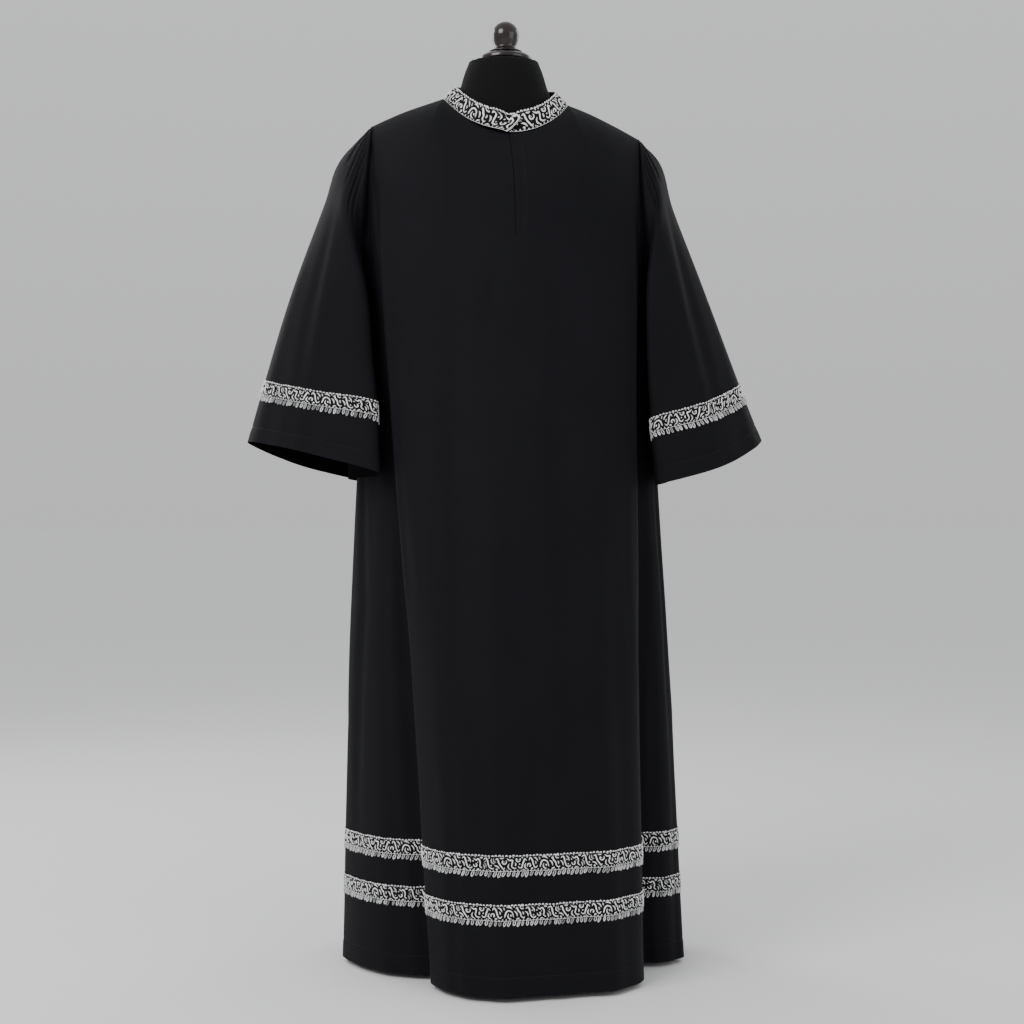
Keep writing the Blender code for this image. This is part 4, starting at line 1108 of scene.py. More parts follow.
@dataclass
class Panel:
    """Front or back panel, from the armholes, shoulders and neckline to the hem.

    The calm sizes are how far from a seam, and from the slit, the cloth takes to find its folds.
    """

    face: Face
    folds: tuple
    creases: tuple
    thickness: float = 0.0009
    hem_depth: float = 0.030
    upper_rows: int = 104
    row_step: float = 0.006
    columns_each: int = 5
    least_reach: float = 0.12
    waviness: float = 0.0009
    calm_top: float = 0.030
    calm_side: float = 0.022
    calm_slit: Pair = (0.004, 0.02)
    calm_foot: float = 1.15
    skin: Skin = field(init=False)

    def __post_init__(self) -> None:
        """Work out the panel's skin."""
        self.skin = self.creased(self.hung())

    @property
    def name(self) -> str:
        """The panel's name, front_panel or back_panel."""
        return self.face.name.lower() + "_panel"

    def columns(self) -> Array:
        """Column places: evenly spaced, closer at the side seams, and none inside the slit.

        Returns:
            Rising column places.
        """
        even = np.arange(0, PATTERN.last_column + 0.001, 1 / self.columns_each)
        edge = np.array([0.06, 0.12, 0.3, 0.5])
        places = np.concatenate([even, edge, PATTERN.last_column - edge])
        places = np.unique(np.round(places, 4))
        if self.face is Face.BACK:
            return places
        low, high = PATTERN.slit
        return places[(places <= low + 1e-6) | (places >= high - 1e-6)]

    def heights(self, top: Array) -> Array:
        """Height of each grid point: rows share out the drop to the bands, then lie level.

        Args:
            top: height of the seam at each column.

        Returns:
            Grid of heights.
        """
        part = np.concatenate([[0.0, 0.0012, 0.0026, 0.0042, 0.0062],
                               np.linspace(0.009, 1.0, self.upper_rows)])
        low = np.arange(PATTERN.band_top, PATTERN.hem, -self.row_step)[1:]
        stitched = PATTERN.hem + self.hem_depth + np.array([-0.0045, -0.0022, 0, 0.0022, 0.0045])
        low = np.unique(np.concatenate([low, stitched, [PATTERN.hem, PATTERN.hem + 0.0015]]))
        upper = top + np.outer(part, PATTERN.band_top - top)
        return np.concatenate([upper, np.repeat(low[::-1][:, None], len(top), axis=1)])

    def hung(self) -> Skin:
        """The panel without its creases: level sections that close in on the seam above them.

        Below the chest each column follows a smooth curve through its folds' sections. Above it
        the column's x and y go from the section to the seam point by a quarter ellipse, or
        softly beside the armholes and at centre front.

        Returns:
            The plain skin.
        """
        columns = self.columns()
        last = PATTERN.last_column
        place = columns
        if self.face is Face.FRONT:
            low, high = PATTERN.slit
            middle = (low + high) / 2
            place = np.interp(columns, (0, low - 1, low, high, high + 1, last),
                              (0, low - 1, middle, middle, high + 1, last))
        table = np.array([row[1:] for row in self.folds])
        curve = spline(table[:, 0], table[:, 1:], place)
        sections = curve.reshape(len(columns), -1, 2).transpose(1, 0, 2).copy()
        if self.face is Face.FRONT:
            sections[..., 0] += PATTERN.slit_sign(columns) * PATTERN.slit_half_width
        top = PATTERN.seam(self.face, columns)
        heights = self.heights(top[:, 2])
        body = column_curves(PATTERN.levels, sections, heights)
        reach = np.maximum(top[:, 2] - PATTERN.levels[-1], self.least_reach)
        part = np.clip((top[:, 2] - heights) / reach, 0, 1)
        soft = 1 - (1 - part) ** 2
        whole = np.arange(last + 1)
        inside = np.abs(whole - last / 2) - (last / 2 - PATTERN.neck_start)
        round_at = np.where(inside > 4, 0.3, np.clip(1 + inside / 5, 0.15, 1))
        roundness = np.interp(columns, whole, round_at)
        deep = roundness * np.sqrt(soft) + (1 - roundness) * soft
        x = top[:, 0] + (body[..., 0] - top[:, 0]) * soft
        y = top[:, 1] + (body[..., 1] - top[:, 1]) * deep
        points = PATTERN.leaned(np.stack([x, y, heights], axis=-1))
        outward = np.array([0.0, self.face.value, 0.0])
        across = run_length(points, 1)
        middle = int(np.argmin(np.abs(columns - PATTERN.slit[0])))
        flat = np.stack([across - across[:, middle:middle + 1], -heights], axis=-1)
        return Skin(points, grid_normals(points, outward), flat, columns, -heights)

    def creased(self, skin: Skin) -> Skin:
        """The skin with its creases, its seams' rolls and its turned hem.

        Args:
            skin: the plain skin.

        Returns:
            The finished skin.
        """
        total = unevenness(skin.flat, self.waviness, 11 if self.face is Face.FRONT else 12)
        for crease in [Crease(*row) for row in self.creases]:
            spots = [skin.flat[skin.nearest(column, -height, column)]
                     for column, height in crease.places()]
            total += crease_height(skin.flat, np.array(spots), crease, (None, 0.0))
        from_top = run_length(skin.points, 0)
        wide = run_length(skin.points, 1)
        from_side = np.minimum(wide, wide[:, -1:] - wide)
        total *= smooth(from_top / self.calm_top) * smooth(from_side / self.calm_side)
        if self.face is Face.FRONT:
            start, width = self.calm_slit
            beside = smooth((np.abs(skin.flat[..., 0]) - start) / width)
            total *= np.clip(beside + (skin.points[..., 2] < self.calm_foot), 0, 1)
        total += sewn_edge(from_top) + sewn_edge(from_side)
        total += turned_hem(skin.points[..., 2] - PATTERN.hem, self.hem_depth)
        return skin.raised(total)

    def build(self) -> Thing:
        """The panel as a shell, open at its slit.

        Returns:
            The panel.
        """
        spans = len(self.skin.columns) - 1
        cells = np.ones((len(self.skin.rows) - 1, spans), bool)
        if self.face is Face.FRONT:
            low = int(np.argmin(np.abs(self.skin.columns - PATTERN.slit[0])))
            cells[:, low] = self.skin.points[1:, low, 2] < PATTERN.slit_foot
        made = shell(self.name, self.skin, self.thickness, cells)
        return dress(made, Finish.CLOTH, "cloth", self.name)


def share_side_seams(front: Panel, back: Panel) -> None:
    """Both panels take the mean normal along their side seams.

    Args:
        front: the front panel.
        back: the back panel.
    """
    for column in (0, -1):
        shared = unit(front.skin.normals[:, column] + back.skin.normals[:, column])
        front.skin.normals[:, column] = back.skin.normals[:, column] = shared


# Sleeves


@dataclass
class Sleeve:
    """Wide bell sleeve, gathered into the armhole at its head."""

    side: Side
    thickness: float = 0.0009
    hem_depth: float = 0.026
    usual_length: float = 0.56
    waviness: float = 0.0008
    half_way: float = 0.52
    quarter_way: float = 0.42
    quarter_depth: float = 0.66
    quarter_sag: float = 0.5
    head_reach: float = 0.07
    calm_head: float = 0.010
    inner_side: float = 0.42
    inner_width: float = 0.08
    skin: Skin = field(init=False)

    def __post_init__(self) -> None:
        """Work out the sleeve's skin."""
        self.skin = self.creased(self.hung())

    @property
    def name(self) -> str:
        """The sleeve's name, sleeve_right or sleeve_left."""
        return "sleeve_" + self.side.name.lower()

    def net(self) -> Array:
        """Eight points a ring: outer fold, front quarter, front, corner, inner side and back.

        Returns:
            Points by ring, from the armhole down, and by place round the ring.
        """
        side = self.side.value
        rows = SLEEVE_RINGS[self.side]
        rings = [PATTERN.leaned(PATTERN.armhole(side, np.arange(8) / 8))]
        for (_, outer_x, outer_z, front_y, corner_x, corner_y, corner_z,
             inner_x, inner_z, rear_x, rear_y, rear_z, sag, back_sag) in rows:
            outer = np.array([outer_x, 0.0, outer_z])
            corner = np.array([corner_x, -corner_y, corner_z])
            rear = np.array([rear_x, rear_y, rear_z])
            front = outer + (corner - outer) * self.half_way
            front[1:] = -front_y, front[2] - sag
            back = outer + (rear - outer) * self.half_way
            back[1:] = rear_y, back[2] - back_sag
            quarter = outer + (front - outer) * self.quarter_way
            quarter[1:] = -self.quarter_depth * front_y, quarter[2] - sag * self.quarter_sag
            blade = outer + (back - outer) * self.quarter_way
            blade[1:] = self.quarter_depth * rear_y, blade[2] - back_sag * self.quarter_sag
            inner = np.array([inner_x, 0.0, inner_z])
            ring = np.array([outer, quarter, front, corner, inner, rear, back, blade])
            rings.append(ring * np.array([side, 1.0, 1.0]))
        return np.array(rings)

    def hung(self) -> Skin:
        """The sleeve without its creases: smooth rings through the net, then smooth columns.

        Returns:
            The plain skin.
        """
        head = np.concatenate([np.arange(0, 0.2, 0.0026), np.arange(0.2, 0.5, 0.0052)])
        turns = np.concatenate([head, [0.5], 1 - head[::-1]])
        rows = np.concatenate([[0, 0.0025, 0.005, 0.008, 0.0115], np.linspace(0.016, 0.25, 30),
                               np.linspace(0.26, 0.945, 50),
                               1 - np.array([5, 3.2, 2.6, 2.2, 1.8, 1.1, 0.4, 0.0]) * 0.01])
        places = [0.0] + [row[0] for row in SLEEVE_RINGS[self.side]]
        rings = spline(places, self.net(), rows)
        grid = ring_spline(rings.transpose(1, 0, 2), turns).transpose(1, 0, 2)
        seam = PATTERN.leaned(PATTERN.armhole(self.side.value, turns))
        grid += (seam - grid[0]) * (1 - smooth(rows / self.head_reach))[:, None, None]
        low = np.clip(2.0 - 2 * np.cos(TURN * turns), 0, 1)
        clear = np.interp(rows, (0, 0.035, 0.08, 0.15, 0.24), (0.0, 0.0036, 0.0036, 0.0018, 0))
        grid[..., 0] += self.side.value * np.outer(clear, low)
        grid[:, -1] = grid[:, 0]
        outward = grid - grid[:, :-1].mean(axis=1, keepdims=True)
        places = np.repeat(rows[:, None], len(turns), axis=1)
        return Skin(grid, grid_normals(grid, outward, True), laid_flat(grid), turns, places, True)

    def creased(self, skin: Skin) -> Skin:
        """The skin with its gathers, folds, seam roll and turned hem.

        Args:
            skin: the plain skin.

        Returns:
            The finished skin.
        """
        whole = skin.flat[:, -1:, 0]
        signed = np.where(skin.columns > 0.5, skin.flat[..., 0] - whole, skin.flat[..., 0])
        ground = np.stack([signed, skin.flat[..., 1]], axis=-1)
        total = unevenness(ground, self.waviness, 21 if self.side is Side.RIGHT else 22)
        from_fold = np.abs(np.where(skin.columns > 0.5, skin.columns - 1, skin.columns))
        total *= smooth((self.inner_side - from_fold) / self.inner_width)
        for crease in [Crease(*row) for row in SLEEVE_CREASES[self.side]]:
            spots = []
            for turn, row in crease.places():
                i, j = skin.nearest(turn % 1.0, row, 0.0)
                spots.append(ground[i, min(j, ground.shape[1] - 2)])
            total += crease_height(ground, np.array(spots), crease, (0.0, 1.0))
        from_top = skin.flat[..., 1]
        total *= smooth(from_top / self.calm_head)
        total += sewn_edge(from_top)
        from_hem = skin.flat[-1:, :, 1] - skin.flat[..., 1]
        total += turned_hem(from_hem, self.hem_depth)
        total[:, -1] = total[:, 0]
        return skin.raised(total)

    def build(self) -> Thing:
        """The sleeve as an open tube of cloth."""
        made = shell(self.name, self.skin, self.thickness)
        return dress(made, Finish.CLOTH, "cloth", self.name)


# Collar


@dataclass
class Collar:
    """Low stand collar. Its end laps over its start at centre front, in a short point."""

    thickness: float = 0.0009
    lap: float = 0.9
    lap_lift: float = 0.0058
    roll: float = 0.0016
    gap: float = 0.0003
    droop: float = 0.20
    notch: float = 0.17
    notch_width: float = 0.55
    point: tuple[Pair, ...] = ((0.0, -0.15), (0.35, 0.35), (0.72, 1.0), (1.0, 0.2))
    round_columns: float = 29.0
    quarter: float = 7.0
    bent_columns: float = 3.0
    grid: tuple[int, int] = (13, 330)
    centre: Triple = (0.0, 0.0, 1.42)
    skin: Skin = field(init=False)

    def __post_init__(self) -> None:
        """Work out the collar's skin, rows from its top edge down to the neck seam."""
        last, quarter = self.round_columns, self.quarter
        steps = np.linspace(-self.lap, last + self.lap, self.grid[1])
        up = np.linspace(1.0, 0.0, self.grid[0])[:, None]
        heights, reach = zip(*self.point)
        end = last + self.lap * np.interp(up, heights, reach)
        bend = last - self.bent_columns
        span = self.bent_columns + self.lap
        q = np.where(steps > bend, bend + (steps - bend) * (end - bend) / span, steps)
        turn = np.interp(q, (-quarter, 0, quarter, last - quarter, last, last + quarter),
                         (-math.pi / 2, 0, math.pi / 2, 1.5 * math.pi, TURN, 2.5 * math.pi))
        base = PATTERN.neckline.at(turn)
        edge = PATTERN.collar_edge.at(turn)
        lift = smooth((q - (last - 4)) / 3.2)[..., None] * self.lap_lift
        away = unit(base * np.array([1.0, 1.0, 0.0]))
        droop = self.droop * smooth((q - (last - 0.7)) / 1.3)
        centre = np.minimum(np.abs(q), np.abs(q - last))
        top = 1 - self.notch * np.exp(-((centre / self.notch_width) ** 2))
        rise = (up * (top + droop) - droop)[..., None]
        points = base + (edge - base) * rise
        points += away * (lift + self.roll * np.sin(math.pi * rise))
        clear = (self.gap + 0.35 * lift) * np.clip(1 - rise * 2, 0, 1)
        points += unit(edge - base) * clear
        points = PATTERN.leaned(points)
        outward = points - np.array(self.centre)
        rows = np.repeat(1 - up, len(steps), axis=1)
        self.skin = Skin(points, grid_normals(points, outward), laid_flat(points), steps, rows)

    def build(self) -> Thing:
        """The collar's cloth, under its galloon."""
        made = shell("collar", self.skin, self.thickness)
        return dress(made, Finish.CLOTH, "cloth", "collar")


# Thread work


@dataclass
class Relief:
    """Raised thread work in flat coordinates: along, up and lift of each point.

    body holds, for each point, the number of the first point of its own stroke.
    """

    points: Array
    faces: Array
    uv: Array
    tone: Array
    body: Array

    def tiled(self, along: Array, tone: Array) -> "Relief":
        """Copies of it at places along the band, each with its change of tone.

        Args:
            along: place of each copy.
            tone: its change of tone.

        Returns:
            All the copies.
        """
        count, size = len(along), len(self.points)
        points = np.repeat(self.points[None], count, axis=0)
        points[..., 0] += along[:, None]
        start = (np.arange(count) * size)[:, None]
        faces = self.faces[None] + start[..., None]
        shade = np.clip(self.tone[None] + tone[:, None], 0, 1)
        return Relief(points.reshape(-1, 3), faces.reshape(-1, 4),
                      np.tile(self.uv, (count, 1)), shade.reshape(-1),
                      (self.body[None] + start).reshape(-1))

    def kept(self, wanted: Array) -> "Relief":
        """Only its wanted points, with the faces that stand on them.

        Args:
            wanted: which points stay.

        Returns:
            What is left.
        """
        number = np.cumsum(wanted) - 1
        faces = number[self.faces[wanted[self.faces].all(axis=1)]]
        return Relief(self.points[wanted], faces, self.uv[wanted], self.tone[wanted],
                      number[self.body[wanted]])

    def rolled(self, shift: float, length: float) -> "Relief":
        """It moved along its band; strokes past the end come back at the start, each whole.

        Args:
            shift: how far it moves.
            length: length of the band.

        Returns:
            The moved work.
        """
        laps = np.floor((self.points[self.body, 0] + shift) / length)
        moved = self.points.copy()
        moved[:, 0] += shift - laps * length
        return Relief(moved, self.faces, self.uv, self.tone, self.body)


def joined(parts: list[Relief]) -> Relief:
    """Several pieces of thread work as one.

    Args:
        parts: the pieces.

    Returns:
        One piece of thread work.
    """
    starts = np.cumsum([0] + [len(part.points) for part in parts[:-1]])
    return Relief(np.concatenate([part.points for part in parts]),
                  np.concatenate([part.faces + start for part, start in zip(parts, starts)]),
                  np.concatenate([part.uv for part in parts]),
                  np.concatenate([part.tone for part in parts]),
                  np.concatenate([part.body + start for part, start in zip(parts, starts)]))


def satin(path: Array, width: Array | float, height: float, tone: float,
          sides: int = 6) -> Relief:
    """A line of satin stitch: a low rounded mound along a path, closed at both ends.

    Ring k stands across the path: its points lie at w cos(a) to the side and h sin(a) up, and the
    lower ones stop a little under the ground.

    Args:
        path: points along and up.
        width: half width at each point of the path.
        height: how high the mound stands.
        tone: brightness of its thread, 0 to 1.
        sides: points a ring, 4 or 6.

    Returns:
        The mound.
    """
    count = len(path)
    width = np.broadcast_to(np.asarray(width, float), (count,)).copy()
    swell = np.ones(count)
    swell[[0, -1]] = 0.25
    run = unit(np.gradient(path, axis=0))
    side = np.stack([-run[:, 1], run[:, 0]], axis=-1)
    angle = TURN * (np.arange(sides) + 0.5) / sides
    across = (width * swell)[:, None, None] * np.cos(angle)[None, :, None] * side[:, None]
    lift = height * swell[:, None] * np.maximum(np.sin(angle), -0.35)[None, :]
    flat = path[:, None] + across
    points = np.concatenate([flat, lift[..., None]], axis=-1)
    number = np.arange(count * sides).reshape(count, sides)
    caps = np.array([[0, k, k + 1, k + 2] for k in range(1, sides - 1, 2)])
    faces = np.concatenate([tube_walls(number), number[0][caps], number[-1][caps[:, ::-1]]])
    length = np.concatenate([[0], np.cumsum(np.linalg.norm(np.diff(path, axis=0), axis=1))])
    uv = np.stack(np.broadcast_arrays(length[:, None], (np.cos(angle) * width.max())[None]), -1)
    return Relief(points.reshape(-1, 3), faces, uv.reshape(-1, 2),
                  np.full(count * sides, tone), np.zeros(count * sides, int))


@dataclass(frozen=True)
class Stroke:
    """One stroke of the embroidery: its path along and up, its half widths and its tone."""

    path: Array
    width: Array
    tone: float

    def mound(self, lift: float = 0.0012) -> Relief:
        """The stroke as a mound of satin stitch."""
        return satin(self.path, self.width, lift, self.tone)


def spiral(centre: Pair, start: float, turns: float, outer: float,
           inner: float, count: int = 13) -> Array:
    """Path that winds in: the radius shrinks evenly from outer to inner.

    Args:
        centre: its middle.
        start: angle of its first point.
        turns: how far it winds; negative for clockwise.
        outer: its first radius.
        inner: its last radius.
        count: how many points.

    Returns:
        The path's points.
    """
    part = np.linspace(0, 1, count)
    angle = start + TURN * turns * part
    radius = outer + (inner - outer) * part
    return np.array(centre) + radius[:, None] * np.stack([np.cos(angle), np.sin(angle)], -1)


@dataclass
class Filling:
    """Free ground between strokes, kept as a field of distances to the nearest stroke."""

    length: float
    low: float
    high: float
    step: float = 0.0004
    field: Array = field(init=False)

    def __post_init__(self) -> None:
        """Start with an empty ground, closed above and below."""
        self.x = np.arange(0, self.length, self.step)
        self.y = np.arange(self.low, self.high, self.step)
        self.field = np.full((len(self.y) + 2, len(self.x)), 1.0)
        self.field[[0, -1]] = -1.0

    def press(self, stroke: Stroke) -> None:
        """Take a stroke's ground away; what leaves one end of the repeat enters at the other.

        Args:
            stroke: the stroke that is laid.
        """
        x = (self.x[None, :, None] - stroke.path[None, None, :, 0]) % self.length
        x = np.minimum(x, self.length - x)
        y = self.y[:, None, None] - stroke.path[None, None, :, 1]
        gap = (np.hypot(x, y) - stroke.width[None, None]).min(axis=-1)
        self.field[1:-1] = np.minimum(self.field[1:-1], gap)

    def room(self, shapes: Array) -> Array:
        """Least distance that each shape would keep, put down at every other grid point.

        Args:
            shapes: the points of each shape about its middle.

        Returns:
            Distances by column, row and shape.
        """
        across = np.arange(0, len(self.x), 2)[:, None, None, None]
        up = np.arange(1, len(self.y) + 1, 2)[None, :, None, None]
        moved = np.round(shapes / self.step).astype(int)
        column = (across + moved[None, None, ..., 0]) % len(self.x)
        row = np.clip(up + moved[None, None, ..., 1], 0, len(self.y) + 1)
        return self.field[row, column].min(axis=-1)


@dataclass
class Galloon:
    """Ordinary scroll-and-leaf galloon, close like lace.

    Slanting strokes follow each other, as S, its mirror or an arch. Rings with a berry, then
    leaves and small berries fill the ground that is left, wherever one keeps its distance.
    """

    height: float = 0.0255
    unit: float = 0.018
    units: int = 9
    line: float = 0.00110
    gap: float = 0.00112
    edge: float = 0.0034
    rings: tuple[tuple[float, int], ...] = ((0.0042, 2), (0.0034, 3))
    seed: int = 7

    @property
    def length(self) -> float:
        """Length of the repeat."""
        return self.unit * self.units

    def main_strokes(self) -> list[Stroke]:
        """The slanting strokes, each bent a little by chance.

        Returns:
            The strokes.
        """
        chance = np.random.default_rng(self.seed)
        kinds = (
            ((0.4, 17.4), (3.0, 20.8), (5.6, 17.6), (7.8, 12.2), (10.4, 6.6), (13.6, 4.6),
             (15.8, 7.2)),
            ((15.6, 16.8), (13.2, 20.4), (10.4, 17.4), (8.4, 12.4), (6.0, 7.4), (3.2, 5.0),
             (0.8, 8.0)),
            ((1.0, 5.2), (1.8, 10.4), (4.4, 15.2), (8.2, 17.4), (12.0, 15.0), (14.2, 10.2),
             (14.8, 5.4)),
            ((0.6, 19.6), (4.6, 17.2), (8.6, 18.6), (10.8, 14.4), (9.4, 9.6), (11.8, 5.6),
             (15.6, 5.2)),
        )
        order = (0, 3, 1, 0, 2, 0, 0, 3, 0, 2, 1, 0)
        taper = np.array([0.65, 0.9, 1.0, 1.1, 1.15, 1.1, 1.0, 0.95, 0.9, 0.85, 0.8, 0.6])
        made = []
        for n in range(self.units):
            knots = np.array(kinds[order[n % len(order)]]) + chance.uniform(-1.3, 1.3, (7, 2))
            way = spline(np.arange(7), knots * 0.001, np.linspace(0, 6, 12))
            way[:, 0] += n * self.unit
            made.append(Stroke(way, self.line * taper, chance.uniform(0.7, 1.0)))
        return made

    def curls(self, ground: Filling) -> list[Stroke]:
        """A few rings that wind in round a berry, where a whole one has room.

        Args:
            ground: the free ground, less what is laid.

        Returns:
            The strokes.
        """
        chance = np.random.default_rng(self.seed + 3)
        made = []
        for radius, most in self.rings:
            for _ in range(most):
                room = ground.room(np.zeros((1, 1, 2)))[..., 0] - radius - self.line
                best = np.where(room > self.gap * 0.8, chance.uniform(0, 1, room.shape), -1)
                a, b = np.unravel_index(np.argmax(best), best.shape)
                if best[a, b] < 0:
                    break
                spot = (ground.x[2 * a], ground.y[2 * b])
                spin = chance.choice((-1.0, 1.0)) * chance.uniform(0.70, 0.95)
                way = spiral(spot, chance.uniform(0, TURN), spin, radius, radius * 0.55)
                made.append(Stroke(way, np.linspace(0.75, 1.05, 13) * self.line,
                                   chance.uniform(0.7, 1.0)))
                berry = max(radius - 2.6 * self.line, 0.0004)
                run = np.array([[-0.4, 0.0], [0.0, 0.1], [0.4, 0.0]]) * berry
                made.append(Stroke(np.array(spot) + run, np.array([0.8, 1.0, 0.8]) * berry,
                                   chance.uniform(0.4, 0.9)))
                for stroke in made[-2:]:
                    ground.press(stroke)
        return made

    def leaves(self, ground: Filling) -> list[Stroke]:
        """Leaves and berries in the ground that the strokes leave free.

        A leaf's path is a shallow arc, tried at twelve angles and bent either way. The one that
        keeps the best distance is laid, with a little chance and a liking for the slant of the
        S strokes, until none of its length fits.

        Args:
            ground: the free ground, less what is laid.

        Returns:
            The strokes.
        """
        chance = np.random.default_rng(self.seed + 1)
        part = np.linspace(-0.5, 0.5, 5)
        angles = math.pi * np.arange(12) / 12
        made = []
        for long, wide in ((0.0100, 1.0), (0.0074, 1.0), (0.0052, 1.05), (0.0034, 1.1),
                           (0.0018, 1.1), (0.0008, 1.0)):
            arcs = np.array([[part * long, bend * (part**2 - 0.08) * long]
                             for bend in (-1.5, 0.7)]).transpose(0, 2, 1)
            turned = np.stack([np.cos(angles), np.sin(angles), -np.sin(angles), np.cos(angles)])
            turned = turned.T.reshape(-1, 2, 2)
            shapes = (arcs[:, None] @ turned[None]).reshape(-1, 5, 2)
            liking = np.tile(0.00012 * np.cos(2 * (angles - 2.2)), 2)
            width = self.line * wide * np.array([0.55, 0.95, 1.05, 0.9, 0.5])
            while True:
                room = ground.room(shapes) - width[2]
                best = np.minimum(room, self.gap * 1.5) + liking
                best += chance.uniform(0, 0.00016, room.shape)
                best[room < self.gap] = -1
                a, b, c = np.unravel_index(np.argmax(best), best.shape)
                if best[a, b, c] < 0:
                    break
                spot = np.array([ground.x[2 * a], ground.y[2 * b]])
                made.append(Stroke(spot + shapes[c], width, chance.uniform(0.15, 1.0)))
                ground.press(made[-1])
        return made

    def borders(self) -> list[Stroke]:
        """Scallops above; below, a thin line with a dot in each of its dips.

        Returns:
            The strokes.
        """
        chance = np.random.default_rng(self.seed + 2)
        made = []
        count = round(self.length / 0.0056)
        pitch = self.length / count
        top = self.height - 0.0024
        for n in range(count):
            rise, wide = chance.uniform(0.0008, 0.0022), pitch * chance.uniform(0.60, 0.86)
            way = np.array([[0.0, 0.0], [0.22, 0.7], [0.5, 1.0], [0.78, 0.7], [1.0, 0.0]])
            way = way * np.array([wide, rise]) + np.array([n * pitch, top])
            made.append(Stroke(way, self.line * np.array([0.6, 0.85, 1.0, 0.85, 0.6]),
                               chance.uniform(0.7, 1.0)))
            spot = np.array([(n + 0.5) * pitch, 0.0024 + chance.uniform(-0.3, 0.3) * 0.001])
            run = np.array([[-0.0009, -0.0002], [0.0, 0.0002], [0.0009, -0.0002]])
            made.append(Stroke(spot + run, self.line * np.array([0.6, 0.8, 0.6]),
                               chance.uniform(0.6, 1.0)))
            way = np.array([[-0.02, 0.9], [0.25, 1.1], [0.5, 1.2], [0.75, 1.1], [1.02, 0.9]])
            way = way * np.array([pitch, 0.0008]) + np.array([n * pitch, 0.0])
            made.append(Stroke(way, self.line * 0.48 * np.ones(5), 0.9))
        return made

    def repeat(self) -> Relief:
        """One repeat of the galloon as raised thread work.

        Returns:
            The thread work.
        """
        ground = Filling(self.length, self.edge, self.height - self.edge)
        every = self.main_strokes()
        for stroke in every:
            ground.press(stroke)
        every += self.curls(ground)
        every += self.leaves(ground)
        LOG.info("galloon repeat of %.0f mm: %d strokes", self.length * 1000, len(every))
        raised = [stroke.mound() for stroke in every]
        raised += [stroke.mound(0.0010) for stroke in self.borders()]
        return joined(raised)


def galloon_along(repeat: Relief, base: Galloon, length: float, height: float,
                  seed: int) -> Relief:
    """The galloon for a band of a length and height: whole repeats, shifted by chance.

    Args:
        repeat: one repeat.
        base: the galloon's sizes.
        length: the band's length.
        height: the band's height.
        seed: start of the chance numbers.

    Returns:
        The thread work.
    """
    chance = np.random.default_rng(seed)
    scale = height / base.height
    count = max(1, round(length / (base.length * scale)))
    points = repeat.points * np.array([length / (count * base.length), scale, 1.0])
    one = Relief(points, repeat.faces, repeat.uv, repeat.tone, repeat.body)
    places = np.arange(count) * length / count
    made = one.tiled(places, chance.uniform(-0.08, 0.08, count))
    return made.rolled(chance.uniform(0, length), length)


def loops_along(length: float, pitch: float, drop: float, seed: int) -> Relief:
    """Small hanging loops, one beside the other, thick and slanted, each a little different.

    Args:
        length: the band's length.
        pitch: space from loop to loop.
        drop: how far a loop hangs.
        seed: start of the chance numbers.

    Returns:
        The thread work.
    """
    chance = np.random.default_rng(seed)
    count = max(1, round(length / pitch))
    parts = []
    kinds = 6
    for kind in range(kinds):
        spots = np.nonzero(np.arange(count) * 5 % kinds == kind)[0]
        if not len(spots):
            continue
        slant, longer = chance.uniform(0.0016, 0.0044), chance.uniform(0.80, 1.06)
        wide = chance.uniform(0.58, 0.92)
        across = np.array([-1.0, -1.8, -2.1, -1.4, 0.0, 1.4, 2.0, 1.7, 0.9]) * 0.001 * wide
        down = np.array([-0.06, 0.22, 0.52, 0.84, 1.0, 0.86, 0.55, 0.24, -0.06]) * drop * longer
        path = np.stack([across - slant * down / drop, -down], axis=-1)
        one = satin(path, 0.00074, 0.0015, 0.30, 4)
        places = (spots + 0.5) * length / count + chance.uniform(-0.9, 0.9, len(spots)) * 0.001
        parts.append(one.tiled(places, chance.uniform(-0.28, 0.40, len(spots))))
    return joined(parts)


@dataclass
class Strip:
    """A straight run on a skin between two rows: flat places on it are turned into points."""

    skin: Skin
    low: float
    high: float
    first: float
    last: float
    closed: bool = False
    length: float = field(init=False)
    width: float = field(init=False)

    def __post_init__(self) -> None:
        """Measure the run along its middle, and its width."""
        down, start = self.skin.index(np.array(self.first), np.array((self.low + self.high) / 2))
        _, end = self.skin.index(np.array(self.last), np.array(self.low))
        self._steps = np.linspace(float(start), float(end), 4 * len(self.skin.columns))
        middle, _ = self.skin.at(np.full_like(self._steps, float(down)), self._steps)
        self._walked = run_length(middle[None], 1)[0]
        self.length = float(self._walked[-1])
        rows, _ = self.skin.index(np.array(self.first), np.array([self.low, self.high]))
        edges, _ = self.skin.at(rows[:, None], self._steps[None, :])
        self.width = float(np.linalg.norm(edges[0] - edges[1], axis=-1).mean())

    def place(self, flat: Array) -> Array:
        """Points of the run for along, up and lift in metres; a closed one goes on at its end.

        Args:
            flat: along, up and lift of each point.

        Returns:
            The points.
        """
        row = self.low + (self.high - self.low) * flat[..., 1] / self.width
        down, _ = self.skin.index(np.array(self.first), row)
        along = flat[..., 0]
        if self.closed:
            past = (along < 0) | (along > self.length)
            along = np.where(past, along % self.length, along)
        across = np.interp(along, self._walked, self._steps)
        points, normals = self.skin.at(down, across)
        return points + normals * flat[..., 2:3]


def thread_piece(name: str, strip: Strip, work: Relief) -> Thing:
    """Thread work laid on a strip, as a finished piece."""
    made = mesh_object(name, strip.place(work.points), work.faces, work.uv[work.faces], work.tone)
    return dress(made, Finish.SILVER, "galloon")


